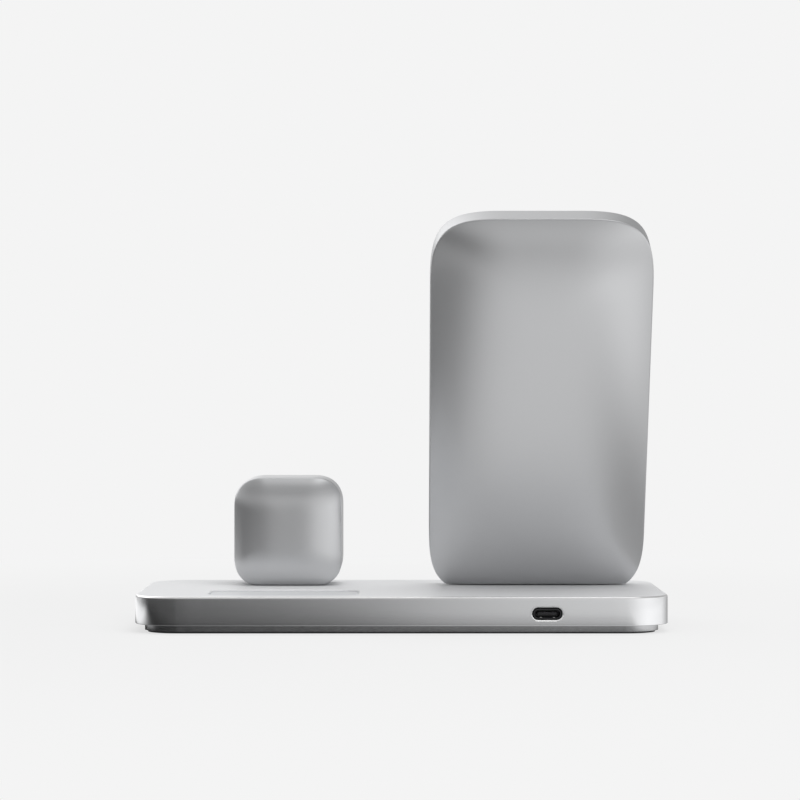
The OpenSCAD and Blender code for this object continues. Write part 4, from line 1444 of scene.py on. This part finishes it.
@dataclass
class Studio:
    """Camera, lamps, floor and surroundings.

    Metal mirrors the floor and the surroundings in tones of their own, by place and by
    direction, as it would mirror the lights, cloths and cards of a studio. The watch's side
    is +X, and the photo's side, with the socket, is +Y.

    Attributes:
        pale: Strength of the floor and the surroundings where they are seen.
        even: Strength of the surroundings as plain light.
        flag_tone: Tone of the dark flag before the watch's side.
        painted_light_patch_tone: Tone of the painted patch of light in the floor beyond the watch's end,
            which only metal sees.
        far_tone: Tone of the mirrored floor far off.
        floor_half: Half the floor's width, in millimetres.
        floor_gloss: Roughness of the floor in metal that looks along it.
        floor_colour: Colour of the matt floor that light falls on.
    """

    camera_at: Triple = (0.0005, 0.943, 0.0749)
    lens: float = 126.8
    sensor: float = 36.0
    pale: float = 0.905
    even: float = 0.55
    flag_tone: float = 0.15
    painted_light_patch_tone: float = 1.2
    far_tone: float = 0.66
    floor_half: float = 40000.0
    floor_gloss: float = 0.08
    floor_colour: float = 0.8
    round: Round = field(default_factory=Round)

    def build(self) -> None:
        """Builds the whole studio."""
        bpy.context.scene.view_settings.view_transform = "Standard"
        self.camera()
        self.lamp("key", at=(-0.75, 0.75, 0.55), aim=(-0.03, 0.0, 0.05), size=(0.6, 0.9), power=3.0)
        self.lamp("top", at=(-0.15, 0.1, 1.2), aim=(0.0, 0.0, 0.0), size=(1.0, 0.8), power=7.0)
        self.world()
        self.floor()

    def camera(self) -> None:
        """Places the level camera behind the stand."""
        data = bpy.data.cameras.new("camera")
        data.lens = self.lens
        data.sensor_width = self.sensor
        data.clip_start = 0.01
        camera = bpy.data.objects.new("camera", data)
        camera.location = self.camera_at
        camera.rotation_euler = (math.pi / 2, 0, math.pi)
        bpy.context.scene.collection.objects.link(camera)
        bpy.context.scene.camera = camera

    def lamp(self, name: str, at: Triple, aim: Triple, size: Pair, power: float) -> None:
        """Places one soft rectangular lamp, which no metal mirrors.

        Args:
            name: Name of the lamp.
            at: Its place in metres.
            aim: The point that it faces.
            size: Its width and height in metres.
            power: Its power in watts.
        """
        data = bpy.data.lights.new(name, "AREA")
        data.shape = "RECTANGLE"
        data.size, data.size_y = size
        data.energy = power
        lamp = bpy.data.objects.new(name, data)
        lamp.location = at
        lamp.visible_glossy = False
        toward = np.array(aim) - np.array(at)
        flat = math.hypot(toward[0], toward[1])
        lamp.rotation_euler = (math.atan2(flat, -toward[2]), 0, math.atan2(-toward[0], toward[1]))
        bpy.context.scene.collection.objects.link(lamp)

    def world(self) -> None:
        """Makes the surroundings: pale where they are seen, toned where they are mirrored."""
        world = bpy.data.worlds.new("surroundings")
        bpy.context.scene.world = world
        tree = empty_tree(world)
        path = tree.add("LightPath").outputs
        plain = tree.math("ADD", path["Is Camera Ray"], path["Is Transmission Ray"], clamp=True)
        shown = tree.mix(path["Is Glossy Ray"], self.even, self.mirrored_world(tree))
        back = tree.add("Background", {"Color": WHITE, "Strength": tree.mix(plain, shown, self.pale)})
        tree.add("OutputWorld", {"Surface": back.outputs[0]})

    def mirrored_world(self, tree: Tree) -> Signal:
        """Tone of the surroundings in metal, by the direction's x, y and z.

        Args:
            tree: The world's tree.

        Returns:
            The tone.
        """
        way = tree.add("TexCoord").outputs["Generated"]
        x, y, z = tree.axes(way)
        low = tree.group(self.round.tree, {"Vector": way}).outputs[0]
        # Higher up, the light before the stand is on the watch's side, and the light behind
        # it, which fades upwards, on the phone's side
        before = tree.span(x, (-0.35, 0.35), (0.42, 1.3))
        behind = tree.times(tree.span(x, (0.3, -0.3), (0.6, 0.95)), tree.span(z, (0.25, 0.5), (1.0, 0.55)))
        high = tree.mix(tree.span(y, (0.35, -0.25)), behind, before)
        tone = tree.mix(tree.span(z, (0.08, 0.24)), low, high)
        # A dark flag stands low before the watch's side
        flag = tree.times(tree.span(x, (0.1, 0.4)), tree.span(y, (0.1, -0.1)))
        band = tree.times(tree.span(z, (0.02, 0.06)), tree.span(z, (0.2, 0.1)))
        tone = tree.mix(tree.times(flag, band), tone, self.flag_tone)
        # Straight above, a bright sheet covers the phone's side and a dark cloth the other
        over = tree.times(tree.span(z, (0.87, 0.93)), tree.span(y, (-0.05, 0.1)))
        return tree.mix(over, tone, tree.span(x, (0.03, -0.05), (0.3, 1.75)))

    def floor(self) -> None:
        """Makes the pale floor, which keeps the stand's shadow."""
        square = np.array([[-1, -1, 0], [1, -1, 0], [1, 1, 0], [-1, 1, 0]])
        floor = make_piece("floor", square * self.floor_half, [(0, 1, 2, 3)])
        floor.data.materials.append(self.floor_material())

    def floor_material(self) -> bpy.types.Material:
        """Makes the floor's material: pale where it is seen, toned where metal mirrors it.

        Where metal looks along it, the mirrored floor is a soft gloss that passes on the surroundings,
        darkened close to the base as painted shade. Where metal looks down on it, it glows in a tone by
        place, painted light and shade. A painted patch of light lies beyond the watch's end. Plain light
        meets a plain matt floor.

        Returns:
            The material.
        """
        material = bpy.data.materials.new("floor_pale")
        tree = empty_tree(material)
        where = tree.add("TexCoord").outputs["Object"]
        x, y, _ = tree.axes(where)
        away = tree.vector("LENGTH", where)
        path = tree.add("LightPath").outputs
        glossy = path["Is Glossy Ray"]
        flat = tree.span(tree.add("LayerWeight", {"Blend": 0.5}).outputs["Facing"], (0.45, 0.9))
        # Painted light: a bright patch in the floor's glow beyond the watch's end, which only metal sees
        painted_light_patch = tree.times(tree.span(y, (0.068, 0.012)), tree.span(x, (0.09, 0.12)))
        painted_light_patch = tree.times(painted_light_patch, tree.span(away, (0.24, 0.32), (1.0, 0.0)), flat)
        tone = tree.mix(painted_light_patch, self.painted_steep_tone(tree, x, y, away), self.painted_light_patch_tone)
        glow = tree.add("Emission", {"Color": WHITE, "Strength": tree.mix(glossy, self.pale, tone)})
        # Painted shade: the floor's gloss is darker close to the base's walls
        near = self.painted_shade_tone(tree, x, y)
        gloss = tree.add("BsdfAnisotropic", {"Color": near, "Roughness": self.floor_gloss})
        # Far off on the phone's side, the gloss gives way to the glow
        drop = tree.times(tree.span(away, (0.35, 0.6), (0.0, 0.65)), tree.span(x, (0.05, -0.06)))
        slant = tree.times(flat, tree.less(drop), glossy, tree.less(painted_light_patch))
        toned = tree.add("MixShader", {0: slant, 1: glow.outputs[0], 2: gloss.outputs[0]})
        real = tree.add("BsdfDiffuse", {"Color": (*(self.floor_colour,) * 3, 1.0)})
        # Near the stand, a seen floor keeps a share of its real shadow
        direct = tree.math("ADD", path["Is Camera Ray"], path["Is Transmission Ray"], clamp=True)
        direct = tree.times(direct, tree.span(away, (0.1, 0.4), (0.75, 1.0)))
        seen = tree.math("ADD", direct, glossy, clamp=True)
        mixed = tree.add("MixShader", {0: seen, 1: real.outputs[0], 2: toned.outputs[0]})
        tree.add("OutputMaterial", {"Surface": mixed.outputs[0]})
        return material

    def painted_steep_tone(self, tree: Tree, x: Signal, y: Signal, away: Signal) -> Signal:
        """Painted tone of the floor where metal looks down on it: painted light and shade.

        Args:
            tree: The floor's tree.
            x: Place along the base, in metres.
            y: Place across it.
            away: Distance from the middle of the stand.

        Returns:
            The painted tone, lighter on the phone's side and even far off.
        """
        # Beyond the phone's end it is darker close by, as painted shade, and lighter a little further off, as
        # painted light
        end = tree.span(x, (-0.07, -0.16), (0.0, 0.4))
        beside = tree.times(end, tree.span(away, (0.13, 0.22), (-0.9, 1.0)))
        across = tree.math("ADD", tree.span(x, (0.11, -0.03), (0.24, 0.82)), beside)
        steep = tree.times(across, tree.span(y, (0.02, 0.08), (0.65, 1.0)))
        return tree.mix(tree.span(away, (0.16, 0.5)), steep, self.far_tone)

    def painted_shade_tone(self, tree: Tree, x: Signal, y: Signal) -> Signal:
        """Tone of the floor's gloss, darkened close to the walls of the base as painted shade.

        Args:
            tree: The floor's tree.
            x: Place along the base, in metres.
            y: Place across it.

        Returns:
            The painted tone, which stays light at the phone's end and is dimmer on the watch's side.
        """
        depth = tree.math("ABSOLUTE", y)
        broad = tree.span(depth, (0.045, 0.17), (0.55, 1.0))
        close = tree.span(depth, (0.058, 0.095), (0.12, 1.0))
        near = tree.math("MAXIMUM", tree.math("MINIMUM", broad, close), tree.span(x, (-0.078, -0.096)))
        return tree.times(near, tree.span(x, (-0.02, 0.03), (1.0, 0.74)))


def main() -> None:
    """Builds the studio and every sub-assembly in order."""
    logging.basicConfig(level=logging.INFO, format="%(name)s: %(message)s")
    Studio().build()
    dresser = Dresser()
    dresser.cad_nodes()
    for assembly in (Base(), Socket(), PhonePanel(), WatchBlock()):
        assembly.build(dresser)
        LOG.info("%s done", type(assembly).__name__)


if __name__ == "__main__":
    main()
